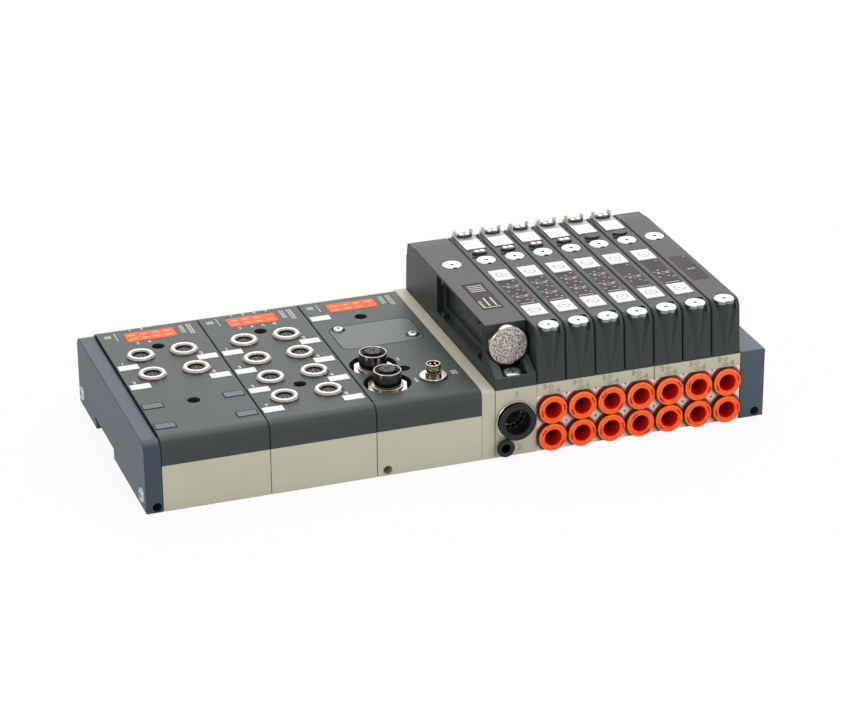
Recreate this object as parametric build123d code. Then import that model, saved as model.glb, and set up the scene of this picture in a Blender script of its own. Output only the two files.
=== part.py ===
from build123d import *
import os

# Pneumatic valve island: two input modules, a bus module, a supply module, six solenoid
# valves and a blanked place in one row. Sizes are in millimetres. X runs along the row from
# the left end plate, Y from the port side to the back, Z up from the mounting face.

# ---- the row
LEFT_PLATE = 7.8
INPUT_WIDTH = 49.2
INPUT_COUNT = 2
BUS_WIDTH = 49.6
BUS_FLANGE = 6.3
SUPPLY_WIDTH = 20.0
VALVE_PITCH = 14.3
PLACES_PER_BASE = (4, 3)
VALVE_COUNT = 6
RIGHT_PLATE = 12.4
DEPTH = 124.4

# ---- heights
SPLIT_TOP = 22.0
COVER_TOP = 34.5
PLATE_TOP = 33.6
FLANGE_TOP = 34.0
BASE_TOP = 33.2
HEAD_TOP = 59.6

# ---- shells
WALL = 2.0
BASE_FLOOR = 8.0
COVER_ROOF = 2.2
COVER_ROUND = 5.0
EDGE = 0.3
SEAT_PLAY = 0.1

# ---- slot for the 35 mm rail, and the clamps that hold on to it
RAIL_WIDTH = 35.0
RAIL_PLAY = 0.6
RAIL_FRONT = 58.0
RAIL_CEILING = 5.2
RAIL_LIP = 1.2
HOOK_REACH = 2.0
CLAMP_HEIGHT = 2.6
CLAMP_HOLE_R = 2.15
CLAMP_SCREW_R = 1.5
CLAMP_HEAD_R = 2.0
CLAMP_HEAD_DEPTH = 9.0
CLAMP_HEAD_LENGTH = 3.0
JAW_WIDTH = 4.6
JAW_LENGTH = 7.0
LEFT_CLAMP_X = 5.0
BUS_CLAMP_X = 4.9
RIGHT_CLAMP_X = 8.1

# ---- pan-head screws of the end plate and of the supply head's foot
TIE_HEAD_R = 3.5
TIE_HEAD_HEIGHT = 2.0
TIE_PROUD = 0.9
TIE_SHANK_R = 1.9
TIE_LENGTH = 14.0
TIE_HEIGHT = 6.6
TIE_INSET = 6.5
FOOT_HEAD_R = 4.6
FOOT_HEAD_HEIGHT = 2.6

# ---- screws of the covers and of the service lid
PAN_DOME = 0.55
PAN_CROSS = 0.22
COVER_HEAD_R = 2.6
COVER_HEAD_HEIGHT = 1.8
COVER_SHANK_R = 1.4
COVER_SHANK = 9.0
COVER_WELL_R = 3.0
WELL_WALL = 1.5
SCREW_SEAT_WALL = 2.0
INPUT_SCREW_SEAT = 25.2
COVER_SCREW_X = 24.5
COVER_SCREW_Y = (35.0, 97.2)

# ---- circuit boards and the posts under them
BOARD_TOP = 20.0
BOARD_THICK = 1.6
BOARD_PLAY = 0.3
POST_R = 2.5
POST_INSET = 6.0

# ---- M8 sensor sockets
M8_COLUMNS = (14.0, 34.5)
M8_ROWS = (23.8, 45.3, 67.0, 88.6)
M8_FLANGE_R = 6.6
M8_FLANGE_HEIGHT = 1.5
M8_BODY_R = 5.0
M8_MOUTH_R = 3.9
M8_MOUTH_CHAMFER = 0.6
M8_DEPTH = 3.0
M8_CARRIER_R = 3.25
CONTACT_DEPTH = 3.0
M8_CONTACT_R = 0.5
M8_CONTACT_CIRCLE = 1.7

# ---- marking tags, two columns beside the sockets
TAG_SIZE = (9.3, 5.1)
TAG_THICK = 1.2
TAG_PROUD = 0.15
TAG_COLUMNS = (5.7, 42.9)
TAG_ROWS = (13.7, 35.1, 56.7, 78.4)
BUS_TAG = (6.0, 101.6)

# ---- indicator windows
WINDOW_SIZE = (23.6, 9.6)
WINDOW_THICK = 1.1
WINDOW_PROUD = 0.1
WINDOW_CORNER = 1.2
WINDOW_CENTRE = (24.4, 111.0)

# ---- bus sockets, M12, in their sunk well
M12_SPOTS = ((12.7, 22.6), (12.7, 43.3))
M12_WELL_R = 10.9
M12_WELL_FLOOR = 29.0
M12_WELL_WALL = 1.5
M12_TOP = 41.0
M12_SHELL_R = 7.0
M12_THREAD_R = 5.7
M12_NUT_R = 8.6
M12_NUT_HEIGHT = 2.4
M12_CARRIER_R = 4.2
M12_CARRIER_DROP = 0.3
M12_DEPTH = 8.0
M12_CONTACT_R = 0.6
M12_CONTACT_CIRCLE = 2.5

# ---- power plug, M8, beside them
PLUG_SPOT = (34.3, 22.0)
PLUG_FLANGE_R = 7.1
PLUG_FLANGE_HEIGHT = 1.0
PLUG_TOP = 41.0
PLUG_BODY_R = 4.4
PLUG_BODY_HEIGHT = 1.6
PLUG_THREAD_R = 3.95
PLUG_BORE_R = 3.1
PLUG_DEPTH = 4.6
PIN_R = 0.5
PIN_CIRCLE = 1.6
PIN_TOP_DROP = 0.6
PIN_COUNT = 4

# ---- service lid of the bus cover
LID_CENTRE = (25.2, 76.3)
LID_SIZE = (39.9, 26.0)
LID_CORNER = 4.5
LID_THICK = 1.4
LID_LEDGE = 2.5
LID_SEAM = 0.25
LID_SCREWS = ((-15.4, 9.8), (15.7, -6.8))
LID_WELL_R = 3.3
LID_WELL_DEPTH = 0.9
LID_PAD_R = 4.6
LID_PAD_BOTTOM = 26.2

# ---- push-in cartridges of the valve bases and their release collars
ROW_PITCH = 13.7
COLLAR_R = 6.6
COLLAR_FLANGE = 1.2
COLLAR_TRAVEL = 0.7
COLLAR_STOP_GAP = 0.1
COLLAR_SKIRT_R = 5.3
COLLAR_SKIRT = 8.0
COLLAR_PLAY = 0.08
COLLAR_EDGE = 0.4
SLEEVE_PROUD = 0.7
TUBE_R = 4.05
TILE_SET_BACK = 0.2
TILE_THICK = 2.6
TILE_GAP = 0.2
BARREL_GAP = (2.3, 1.7)
CARTRIDGE_LENGTH = 20.0
SEAL_DEPTH = 14.0

# ---- supply and pilot ports
SUPPLY_PORT = (10.0, 17.2)
SUPPLY_BUSH_R = 9.7
SUPPLY_COLLAR_R = 8.9
SUPPLY_SKIRT_R = 7.3
SUPPLY_TUBE_R = 6.05
PILOT_PORT = (4.4, 5.0)
PILOT_BUSH_R = 3.4
PILOT_COLLAR_R = 4.2
PILOT_SKIRT_R = 2.85
PILOT_TUBE_R = 2.05
BUSH_PROUD = 1.0
SUPPLY_BUSH_LENGTH = 18.0
PILOT_BUSH_LENGTH = 12.0
SUPPLY_BUSH_GRIP = 1.6
PILOT_BUSH_GRIP = 1.2

# ---- heads
HEAD_GAP = 0.4
HEAD_FOOT_FRONT = 0.3
HEAD_LEAN = 2.3
HEAD_FRONT_ROUND = 5.0
HEAD_BACK_ROUND = 1.5
HEAD_STEP_Y = 111.0
HEAD_STEP = 0.5
HEAD_BACK_FALL = 1.0
HEAD_BACK = 120.4
LEDGE_TOP = 51.9
LEDGE_OUT = 0.5
HEAD_FOOT_BACK = 123.4
HEAD_EDGE = 0.5
COLUMN_R = 4.4
COLUMN_FOOT_R = 0.5
COLUMN_FOOT_Z = 35.0
VALLEY_R = 5.5
VALLEY_FORWARD = 3.8

# ---- flat screws of the heads
HEAD_SCREW_R = 4.75
HEAD_SCREW_THICK = 1.6
HEAD_SCREW_PROUD = 0.25
HEAD_SCREW_PLAY = 0.25
HEAD_SCREW_SHANK_R = 1.7
MID_SCREW_GRIP = 12.0
FRONT_SCREW_GRIP = 5.0
HEAD_SCREW_NOTCH_R = 1.6
DRIVE_R = 0.8
DRIVE_DEPTH = 0.9
FRONT_SCREW_Y = 5.0
MID_SCREW_Y = 85.2

# ---- manual overrides
PLATE_SIZE = (9.2, 12.0)
PLATE_THICK = 1.4
PLATE_PROUD = 0.4
OVERRIDE_Y = (22.4, 65.2)
BUTTON_R = 2.4
BUTTON_PLAY = 0.3
BUTTON_PROUD = 0.1
BUTTON_HEIGHT = 4.4
BUTTON_TRAVEL = 1.5
BUTTON_SLOT = (2.2, 0.6, 0.5)

# ---- lamps and label cover of a valve
COVER_PLATE_WIDTH = 9.8
COVER_PLATE_Y = (98.9, 120.0)
COVER_PLATE_SINK = 1.0
COVER_PLATE_THICK = 1.4
COVER_PEG_R = 0.9
COVER_PEG_HEIGHT = 2.3
COVER_PEG_X = 4.1
COVER_PEG_INSET = 2.2
BOSS_Y = (94.2, 115.6)
BOSS_HALF = (3.7, 2.4)
BOSS_TOP = (1.0, 1.4)
BOSS_PLAY = 0.15
DOUBLE_LAMP_VALVES = 4
LENS_SIZE = 2.2
LENS_GAP = 0.55
LENS_SINK = 0.5
LENS_PROUD = 0.3
VENT_R = 1.7
VENT_SPOT = (3.9, 8.8)
VENT_DEPTH = 12.0
SLOT_HOLE = (3.6, 1.6)
SLOT_HOLE_SPOT = (-3.6, 89.4)

# ---- supply head
SUPPLY_FRONT = 13.7
FOOT_TOP = 38.7
RAMP_TOP = 46.3
WINDOW_Y = (17.2, 78.0)
WINDOW_Z = (39.9, 58.8)
WINDOW_DEPTH = 3.2
WINDOW_PANEL_INSET = 4.0
WINDOW_PANEL_DEPTH = 1.6
CATCH_SIZE = (3.0, 2.2)
CATCH_Y = (24.4, 71.2)
FOOT_POCKET_WIDTH = 11.6
FOOT_POCKET_FLOOR = 37.0
FOOT_SCREW_Y = 5.5
SILENCER_Z = 49.8
SILENCER_R = 9.2
SILENCER_PROUD = 4.0
SILENCER_RIM = 0.8
SILENCER_DISC = 2.4
SILENCER_NECK_R = 6.5
SILENCER_NECK = 8.0
SILENCER_NECK_WALL = 1.3
SILENCER_PLAY = 0.5

# ---- places worked out from the sizes above
INPUT_X = [LEFT_PLATE + INPUT_WIDTH * i for i in range(INPUT_COUNT)]
BUS_X = LEFT_PLATE + INPUT_WIDTH * INPUT_COUNT
SUPPLY_X = BUS_X + BUS_WIDTH + BUS_FLANGE
VALVES_X = SUPPLY_X + SUPPLY_WIDTH
RIGHT_X = VALVES_X + VALVE_PITCH * sum(PLACES_PER_BASE)
LENGTH = RIGHT_X + RIGHT_PLATE
PLACE_X = [VALVES_X + VALVE_PITCH * (i + 0.5) for i in range(sum(PLACES_PER_BASE))]
ROWS_Z = {"lower": ROW_PITCH / 2 - TILE_GAP / 2, "upper": ROW_PITCH * 1.5 - TILE_GAP / 2}
TILES_TOP = ROW_PITCH * 2 - TILE_GAP
BUS_SCREW_SEAT = M12_WELL_FLOOR - M12_WELL_WALL + SCREW_SEAT_WALL
RAIL_BACK = RAIL_FRONT + RAIL_WIDTH + RAIL_PLAY
BOARD_BOTTOM = BOARD_TOP - BOARD_THICK
MOST_PROUD = max(SLEEVE_PROUD, BUSH_PROUD) + COLLAR_STOP_GAP + COLLAR_TRAVEL + COLLAR_FLANGE
ROW_CENTRE = ((LENGTH - TIE_PROUD) / 2, (DEPTH - MOST_PROUD) / 2)


def block(x, y, z):
    """Box between two values on each axis."""
    size = Box(x[1] - x[0], y[1] - y[0], z[1] - z[0])
    return Pos(sum(x) / 2, sum(y) / 2, sum(z) / 2) * size


def upright(x, y, z, radius):
    """Round bar along Z."""
    return Pos(x, y, sum(z) / 2) * Cylinder(radius, z[1] - z[0])


def forward(x, z, y, radius):
    """Round bar along Y."""
    return Pos(x, sum(y) / 2, z) * Rot(90, 0, 0) * Cylinder(radius, y[1] - y[0])


def sideways(y, z, x, radius):
    """Round bar along X."""
    return Pos(sum(x) / 2, y, z) * Rot(0, 90, 0) * Cylinder(radius, x[1] - x[0])


def across(profile, x):
    """Outline drawn in Y and Z, carried along X."""
    return extrude(Plane.YZ.offset(x[0]) * profile, x[1] - x[0])


def raised(outline, z):
    """Outline drawn in X and Y, carried along Z."""
    return extrude(Plane.XY.offset(z[0]) * outline, z[1] - z[0])


def eased(solid, size):
    """Solid with the outlines of its two end faces broken by a small chamfer."""
    ends = solid.faces().sort_by(Axis.X)
    return chamfer(ends[0].outer_wire().edges() + ends[-1].outer_wire().edges(), size)


def spun(x, z, outline):
    """Ring or plug about an axis along Y; its outline holds (radius, distance along Y)."""
    section = make_face(Polyline(*[(r, y, 0) for r, y in outline], close=True))
    return Pos(x, 0, z) * revolve(section, Axis.Y)


def turned(x, y, outline):
    """Ring or plug about an upright axis; its outline holds (radius, height)."""
    section = make_face(Polyline(*[(r, 0, z) for r, z in outline], close=True))
    return Pos(x, y, 0) * revolve(section, Axis.Z)


def export(name, solids):
    """Writes the solids as one node, with the row's centre at the origin."""
    shift = Pos(-ROW_CENTRE[0], -ROW_CENTRE[1], 0)
    parts = [shift * solid for item in solids for solid in item.solids()]
    node = parts[0] if len(parts) == 1 else Compound(children=parts)
    export_step(node, f"parts/{name}.step")


# ---- rail slot and clamps, cut into every base and end plate

def rail_slot(x):
    mouth = block(x, (RAIL_FRONT, RAIL_BACK - HOOK_REACH), (0, RAIL_CEILING))
    undercut = block(x, (RAIL_FRONT, RAIL_BACK), (RAIL_CEILING - RAIL_LIP, RAIL_CEILING))
    return mouth + undercut


def clamp_channel(x):
    """Room for a rail clamp: its screw's hole from the front and its jaw's open pocket."""
    hole = forward(x, CLAMP_HEIGHT, (-1, RAIL_FRONT), CLAMP_HOLE_R)
    half = JAW_WIDTH / 2 + SEAT_PLAY
    pocket = block(
        (x - half, x + half),
        (RAIL_FRONT - JAW_LENGTH, RAIL_FRONT),
        (0, RAIL_CEILING - RAIL_LIP),
    )
    return hole + pocket


def clamp_jaw(x):
    """Jaw that reaches under the rail's front lip, threaded for its screw."""
    half = JAW_WIDTH / 2
    front = RAIL_FRONT - JAW_LENGTH + HOOK_REACH
    top = RAIL_CEILING - RAIL_LIP - SEAT_PLAY
    jaw = block((x - half, x + half), (front, front + JAW_LENGTH), (EDGE, top))
    return jaw - forward(x, CLAMP_HEIGHT, (front - 1, front + JAW_LENGTH + 1), CLAMP_SCREW_R)


def clamp_screw(x):
    start = CLAMP_HEAD_DEPTH
    head = forward(x, CLAMP_HEIGHT, (start, start + CLAMP_HEAD_LENGTH), CLAMP_HEAD_R)
    shank = forward(x, CLAMP_HEIGHT, (start, RAIL_FRONT + HOOK_REACH), CLAMP_SCREW_R)
    return head + shank


# ---- end plates

def end_plate(x, corner):
    outline = Pos(DEPTH / 2, PLATE_TOP / 2) * Rectangle(DEPTH, PLATE_TOP)
    outline = fillet(outline.vertices().group_by(Axis.Y)[-1], corner)
    plate = eased(across(outline, x), EDGE)
    return plate - rail_slot(x)


def tie_spots():
    return [(TIE_INSET, TIE_HEIGHT), (DEPTH - TIE_INSET, TIE_HEIGHT)]


def left_end_plate():
    plate = end_plate((0, LEFT_PLATE), COVER_ROUND) - clamp_channel(LEFT_CLAMP_X)
    for y, z in tie_spots():
        sunk = TIE_HEAD_HEIGHT - TIE_PROUD
        plate -= sideways(y, z, (-1, sunk), TIE_HEAD_R + SEAT_PLAY)
        plate -= sideways(y, z, (-1, LEFT_PLATE + 1), TIE_SHANK_R)
    return plate


def right_end_plate():
    return end_plate((RIGHT_X, LENGTH), EDGE * 2) - clamp_channel(RIGHT_X + RIGHT_CLAMP_X)


def pan_head(radius, height):
    """Domed head standing on its seat at z = 0, with a cross recess."""
    dome = Cylinder(radius, height, align=(Align.CENTER, Align.CENTER, Align.MIN))
    dome = fillet(dome.edges().group_by(Axis.Z)[-1], height * PAN_DOME)
    slot = radius * PAN_CROSS
    cross = Box(radius, slot, height) + Box(slot, radius, height)
    return dome - Pos(0, 0, height) * cross


def tie_screw(y, z):
    sunk = TIE_HEAD_HEIGHT - TIE_PROUD
    head = Pos(sunk, y, z) * Rot(0, -90, 0) * pan_head(TIE_HEAD_R, TIE_HEAD_HEIGHT)
    return head + sideways(y, z, (sunk - EDGE, sunk + TIE_LENGTH), TIE_SHANK_R)


# ---- bases and covers of the input and bus modules

def cover_screw_spots(x):
    return [(x + COVER_SCREW_X, y) for y in COVER_SCREW_Y]


def post_spots(x, width):
    across_row = (x + POST_INSET, x + width - POST_INSET)
    return [(px, py) for px in across_row for py in (POST_INSET, DEPTH - POST_INSET)]


def module_base(x, width, screw_seat):
    """Tray with the board posts and the screw posts that its cover is screwed to."""
    span = (x, x + width)
    outline = Pos(DEPTH / 2, SPLIT_TOP / 2) * Rectangle(DEPTH, SPLIT_TOP)
    base = eased(across(outline, span), EDGE)
    base -= block((x + WALL, x + width - WALL), (WALL, DEPTH - WALL), (BASE_FLOOR, SPLIT_TOP + 1))
    for px, py in post_spots(x, width):
        base += upright(px, py, (BASE_FLOOR, BOARD_BOTTOM), POST_R)
    for sx, sy in cover_screw_spots(x):
        top = screw_seat - SCREW_SEAT_WALL
        base += upright(sx, sy, (BASE_FLOOR, top), COVER_WELL_R)
        base -= upright(sx, sy, (screw_seat - COVER_SHANK, top + 1), COVER_SHANK_R)
    return base - rail_slot(span)


def tie_holes(x):
    """Threaded holes that the end plate's screws run into."""
    depth = TIE_LENGTH + TIE_HEAD_HEIGHT - TIE_PROUD
    return [sideways(y, z, (x - 1, depth), TIE_SHANK_R) for y, z in tie_spots()]


def bus_base():
    base = module_base(BUS_X, BUS_WIDTH, BUS_SCREW_SEAT)
    flange_x = (BUS_X + BUS_WIDTH, SUPPLY_X)
    outline = Pos(DEPTH / 2, FLANGE_TOP / 2) * Rectangle(DEPTH, FLANGE_TOP)
    outline = chamfer(outline.vertices().group_by(Axis.Y)[-1], EDGE * 4)
    flange = eased(across(outline, flange_x), EDGE) - rail_slot(flange_x)
    return base + flange - clamp_channel(BUS_X + BUS_CLAMP_X)


def flat_pocket(x, y, size, depth, play):
    """Pocket sunk into the covers' top face for a flat insert."""
    outline = Pos(x, y) * Rectangle(size[0] + 2 * play, size[1] + 2 * play)
    return raised(outline, (COVER_TOP - depth, COVER_TOP + 1))


def window_outline(x, grown):
    size = [side + 2 * grown for side in WINDOW_SIZE]
    return Pos(x + WINDOW_CENTRE[0], WINDOW_CENTRE[1]) * RectangleRounded(*size, WINDOW_CORNER)


def module_cover(x, width, screw_seat):
    """Cap with rounded long edges, its screw wells and the indicator window's pocket."""
    outline = Pos(DEPTH / 2, (SPLIT_TOP + COVER_TOP) / 2) * Rectangle(DEPTH, COVER_TOP - SPLIT_TOP)
    outline = fillet(outline.vertices().group_by(Axis.Y)[-1], COVER_ROUND)
    cover = eased(across(outline, (x, x + width)), EDGE)
    inside = (SPLIT_TOP - 1, COVER_TOP - COVER_ROOF)
    hollow = Pos(DEPTH / 2, sum(inside) / 2) * Rectangle(DEPTH - 2 * WALL, inside[1] - inside[0])
    hollow = fillet(hollow.vertices().group_by(Axis.Y)[-1], COVER_ROUND - WALL)
    cover -= across(hollow, (x + WALL, x + width - WALL))
    for sx, sy in cover_screw_spots(x):
        floor = screw_seat - SCREW_SEAT_WALL
        cover += upright(sx, sy, (floor, COVER_TOP - EDGE), COVER_WELL_R + WELL_WALL)
        cover -= upright(sx, sy, (screw_seat, COVER_TOP + 1), COVER_WELL_R)
        cover -= upright(sx, sy, (floor - 1, COVER_TOP), COVER_SHANK_R + SEAT_PLAY)
    sink = WINDOW_THICK - WINDOW_PROUD
    return cover - raised(window_outline(x, SEAT_PLAY), (COVER_TOP - sink, COVER_TOP + 1))


def indicator_window(x):
    bottom = COVER_TOP + WINDOW_PROUD - WINDOW_THICK
    return raised(window_outline(x, 0), (bottom, bottom + WINDOW_THICK))


def tag(x, y):
    bottom = COVER_TOP + TAG_PROUD - TAG_THICK
    return raised(Pos(x, y) * Rectangle(*TAG_SIZE), (bottom, bottom + TAG_THICK))


def tag_pocket(x, y):
    return flat_pocket(x, y, TAG_SIZE, TAG_THICK - TAG_PROUD, SEAT_PLAY)


def tag_spots(x):
    return [(x + tx, ty) for tx in TAG_COLUMNS for ty in TAG_ROWS]


def socket_spots(x, rows):
    return [(x + sx, sy) for sx in M8_COLUMNS for sy in rows]


def input_cover(x, rows):
    cover = module_cover(x, INPUT_WIDTH, INPUT_SCREW_SEAT)
    for sx, sy in socket_spots(x, rows):
        cover -= upright(sx, sy, (SPLIT_TOP, COVER_TOP + 1), M8_BODY_R + SEAT_PLAY)
    for tx, ty in tag_spots(x):
        cover -= tag_pocket(tx, ty)
    return cover


def lid_outline(grown):
    size = [side + 2 * grown for side in LID_SIZE]
    spot = Pos(BUS_X + LID_CENTRE[0], LID_CENTRE[1])
    return spot * RectangleRounded(*size, LID_CORNER + grown)


def lid_screw_spots():
    return [(BUS_X + LID_CENTRE[0] + dx, LID_CENTRE[1] + dy) for dx, dy in LID_SCREWS]


def bus_cover():
    """Bus module's cap: the lid's opening, the sunk well of the M12 sockets, the plug's hole."""
    cover = module_cover(BUS_X, BUS_WIDTH, BUS_SCREW_SEAT)
    ledge = COVER_TOP - LID_THICK
    cover -= raised(lid_outline(LID_SEAM), (ledge, COVER_TOP + 1))
    opening = raised(lid_outline(-LID_LEDGE), (SPLIT_TOP, COVER_TOP))
    pads = [upright(x, y, (LID_PAD_BOTTOM, ledge), LID_PAD_R) for x, y in lid_screw_spots()]
    cover -= opening
    cover += pads
    for x, y in lid_screw_spots():
        cover -= upright(x, y, (LID_PAD_BOTTOM - 1, COVER_TOP), COVER_SHANK_R)
    spots = [(BUS_X + x, y) for x, y in M12_SPOTS]
    for x, y in spots:
        cup = (M12_WELL_FLOOR - M12_WELL_WALL, COVER_TOP - EDGE)
        cover += upright(x, y, cup, M12_WELL_R + M12_WELL_WALL)
    for x, y in spots:
        cover -= upright(x, y, (M12_WELL_FLOOR, COVER_TOP + 1), M12_WELL_R)
        cover -= upright(x, y, (SPLIT_TOP, COVER_TOP), M12_SHELL_R + SEAT_PLAY)
    for sx, sy in cover_screw_spots(BUS_X):
        cover -= upright(sx, sy, (BUS_SCREW_SEAT, COVER_TOP + 1), COVER_WELL_R)
    cover -= upright(
        BUS_X + PLUG_SPOT[0], PLUG_SPOT[1], (SPLIT_TOP, COVER_TOP + 1), PLUG_BODY_R + SEAT_PLAY
    )
    return cover - tag_pocket(BUS_X + BUS_TAG[0], BUS_TAG[1])


def service_lid():
    lid = raised(lid_outline(0), (COVER_TOP - LID_THICK, COVER_TOP))
    for x, y in lid_screw_spots():
        lid -= upright(x, y, (COVER_TOP - LID_WELL_DEPTH, COVER_TOP + 1), LID_WELL_R)
        lid -= upright(x, y, (COVER_TOP - 2 * LID_THICK, COVER_TOP), COVER_SHANK_R + SEAT_PLAY)
    return lid


def cover_screw(x, y, seat):
    screw = Pos(x, y, seat) * pan_head(COVER_HEAD_R, COVER_HEAD_HEIGHT)
    return screw + upright(x, y, (seat - COVER_SHANK, seat + EDGE), COVER_SHANK_R)


def lid_screw(x, y):
    seat = COVER_TOP - LID_WELL_DEPTH
    screw = Pos(x, y, seat) * pan_head(COVER_HEAD_R, COVER_HEAD_HEIGHT)
    return screw + upright(x, y, (LID_PAD_BOTTOM, seat + EDGE), COVER_SHANK_R)


def circuit_board(x, width):
    """Board on its posts, with clearance round the cover's screw posts."""
    edge = WALL + BOARD_PLAY
    board = block(
        (x + edge, x + width - edge), (edge, DEPTH - edge), (BOARD_BOTTOM, BOARD_TOP)
    )
    for sx, sy in cover_screw_spots(x):
        board -= upright(sx, sy, (BOARD_BOTTOM - 1, BOARD_TOP + 1), COVER_WELL_R + BOARD_PLAY)
    return board


# ---- connectors

def m8_socket(x, y):
    """Nickelled shell: bevelled flange on the cover, bored mouth, body down to the board."""
    top = COVER_TOP + M8_FLANGE_HEIGHT
    bevel = M8_FLANGE_HEIGHT / 2
    return turned(x, y, [
        (M8_CARRIER_R, BOARD_TOP),
        (M8_BODY_R, BOARD_TOP),
        (M8_BODY_R, COVER_TOP),
        (M8_FLANGE_R, COVER_TOP),
        (M8_FLANGE_R, top - bevel),
        (M8_FLANGE_R - bevel, top),
        (M8_MOUTH_R + M8_MOUTH_CHAMFER, top),
        (M8_MOUTH_R, top - M8_MOUTH_CHAMFER),
        (M8_MOUTH_R, top - M8_DEPTH),
        (M8_CARRIER_R, top - M8_DEPTH),
    ])


def ring_of_spots(x, y, count, radius):
    return [Pos(x, y, 0) * spot for spot in PolarLocations(radius, count)]


def carrier(x, y, top, radius, count, circle, contact_r):
    """Insulating plug of a connector, with a blind hole over each contact."""
    body = upright(x, y, (BOARD_TOP, top), radius)
    depth = CONTACT_DEPTH * contact_r
    for spot in ring_of_spots(x, y, count, circle):
        body -= spot * Pos(0, 0, top) * Cylinder(contact_r, 2 * depth)
    return body


def m12_socket(x, y):
    """Nickelled shell, its hexagonal seat in the sunk well, and the ring round the carrier."""
    shell = turned(x, y, [
        (M12_CARRIER_R, BOARD_TOP),
        (M12_SHELL_R, BOARD_TOP),
        (M12_SHELL_R, M12_TOP - EDGE),
        (M12_SHELL_R - EDGE, M12_TOP),
        (M12_THREAD_R + EDGE, M12_TOP),
        (M12_THREAD_R, M12_TOP - EDGE),
        (M12_THREAD_R, M12_TOP - M12_DEPTH),
        (M12_CARRIER_R, M12_TOP - M12_DEPTH),
    ])
    nut = Pos(x, y) * (RegularPolygon(M12_NUT_R, 6, major_radius=False) - Circle(M12_SHELL_R))
    return shell + raised(nut, (M12_WELL_FLOOR, M12_WELL_FLOOR + M12_NUT_HEIGHT))


def power_plug():
    """Nickelled male shell on its flange, and the pins that stand in it."""
    x = BUS_X + PLUG_SPOT[0]
    y = PLUG_SPOT[1]
    shoulder = COVER_TOP + PLUG_FLANGE_HEIGHT
    shell = turned(x, y, [
        (PLUG_BORE_R, BOARD_TOP),
        (PLUG_BODY_R, BOARD_TOP),
        (PLUG_BODY_R, COVER_TOP),
        (PLUG_FLANGE_R, COVER_TOP),
        (PLUG_FLANGE_R, shoulder - EDGE),
        (PLUG_FLANGE_R - EDGE, shoulder),
        (PLUG_BODY_R, shoulder),
        (PLUG_BODY_R, shoulder + PLUG_BODY_HEIGHT),
        (PLUG_THREAD_R, shoulder + PLUG_BODY_HEIGHT),
        (PLUG_THREAD_R, PLUG_TOP - EDGE),
        (PLUG_THREAD_R - EDGE, PLUG_TOP),
        (PLUG_BORE_R, PLUG_TOP),
    ])
    pin_z = (BOARD_TOP, PLUG_TOP - PIN_TOP_DROP)
    pins = [
        spot * upright(0, 0, pin_z, PIN_R) for spot in ring_of_spots(x, y, PIN_COUNT, PIN_CIRCLE)
    ]
    return [shell] + pins


def plug_carrier():
    x = BUS_X + PLUG_SPOT[0]
    y = PLUG_SPOT[1]
    body = upright(x, y, (BOARD_TOP, PLUG_TOP - PLUG_DEPTH), PLUG_BORE_R)
    for spot in ring_of_spots(x, y, PIN_COUNT, PIN_CIRCLE):
        body -= spot * upright(0, 0, (BOARD_TOP - 1, PLUG_TOP), PIN_R)
    return body


# ---- push-in fittings

def release_collar(x, z, flange_r, skirt_r, tube_r, seat):
    """Flanged collar that is pressed in to free the tube; seat is its stop's height."""
    back = seat + COLLAR_STOP_GAP + COLLAR_TRAVEL
    front = back + COLLAR_FLANGE
    mouth = tube_r + COLLAR_EDGE
    return spun(x, z, [
        (tube_r, -front + COLLAR_EDGE),
        (mouth, -front),
        (flange_r - COLLAR_EDGE, -front),
        (flange_r, -front + COLLAR_EDGE),
        (flange_r, -back),
        (skirt_r, -back),
        (skirt_r, -back + COLLAR_SKIRT),
        (tube_r, -back + COLLAR_SKIRT),
    ])


def barrels(x, z, front):
    """Bar behind the plate of a cartridge, or the bay that holds several, between outer axes."""
    half = ((VALVE_PITCH - BARREL_GAP[0]) / 2, (ROW_PITCH - BARREL_GAP[1]) / 2)
    x_span = (x[0] - half[0], x[1] + half[0])
    return block(x_span, (front, CARTRIDGE_LENGTH), (z[0] - half[1], z[1] + half[1]))


def cartridge(x, z):
    """Retaining plate with its ring, and the square barrel that sits in the base's bay."""
    half = ((VALVE_PITCH - TILE_GAP) / 2, (ROW_PITCH - TILE_GAP) / 2)
    tile_y = (TILE_SET_BACK, TILE_SET_BACK + TILE_THICK)
    tile = block((x - half[0], x + half[0]), tile_y, (z - half[1], z + half[1]))
    body = tile + barrels((x, x), (z, z), tile_y[1])
    body += forward(x, z, (-SLEEVE_PROUD, tile_y[1]), COLLAR_R - EDGE)
    room = COLLAR_SKIRT + COLLAR_STOP_GAP
    body -= forward(x, z, (-SLEEVE_PROUD - 1, room), COLLAR_SKIRT_R + COLLAR_PLAY)
    return body - forward(x, z, (0, SEAL_DEPTH), TUBE_R)


def supply_bush(x, z, bush_r, skirt_r, tube_r, length, grip):
    """Turned bush of a supply port, bored for its collar's skirt and for the tube's end."""
    skirt_r += COLLAR_PLAY
    room = COLLAR_SKIRT + COLLAR_STOP_GAP
    return spun(x, z, [
        (skirt_r, -BUSH_PROUD),
        (bush_r - EDGE, -BUSH_PROUD),
        (bush_r, -BUSH_PROUD + EDGE),
        (bush_r, grip),
        (bush_r - EDGE, grip),
        (bush_r - EDGE, length),
        (tube_r, length),
        (tube_r, room),
        (skirt_r, room),
    ])


# ---- bases of the supply module and of the valves

def tall_base(x):
    outline = Pos(DEPTH / 2, BASE_TOP / 2) * Rectangle(DEPTH, BASE_TOP)
    return eased(across(outline, x), EDGE) - rail_slot(x)


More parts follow.
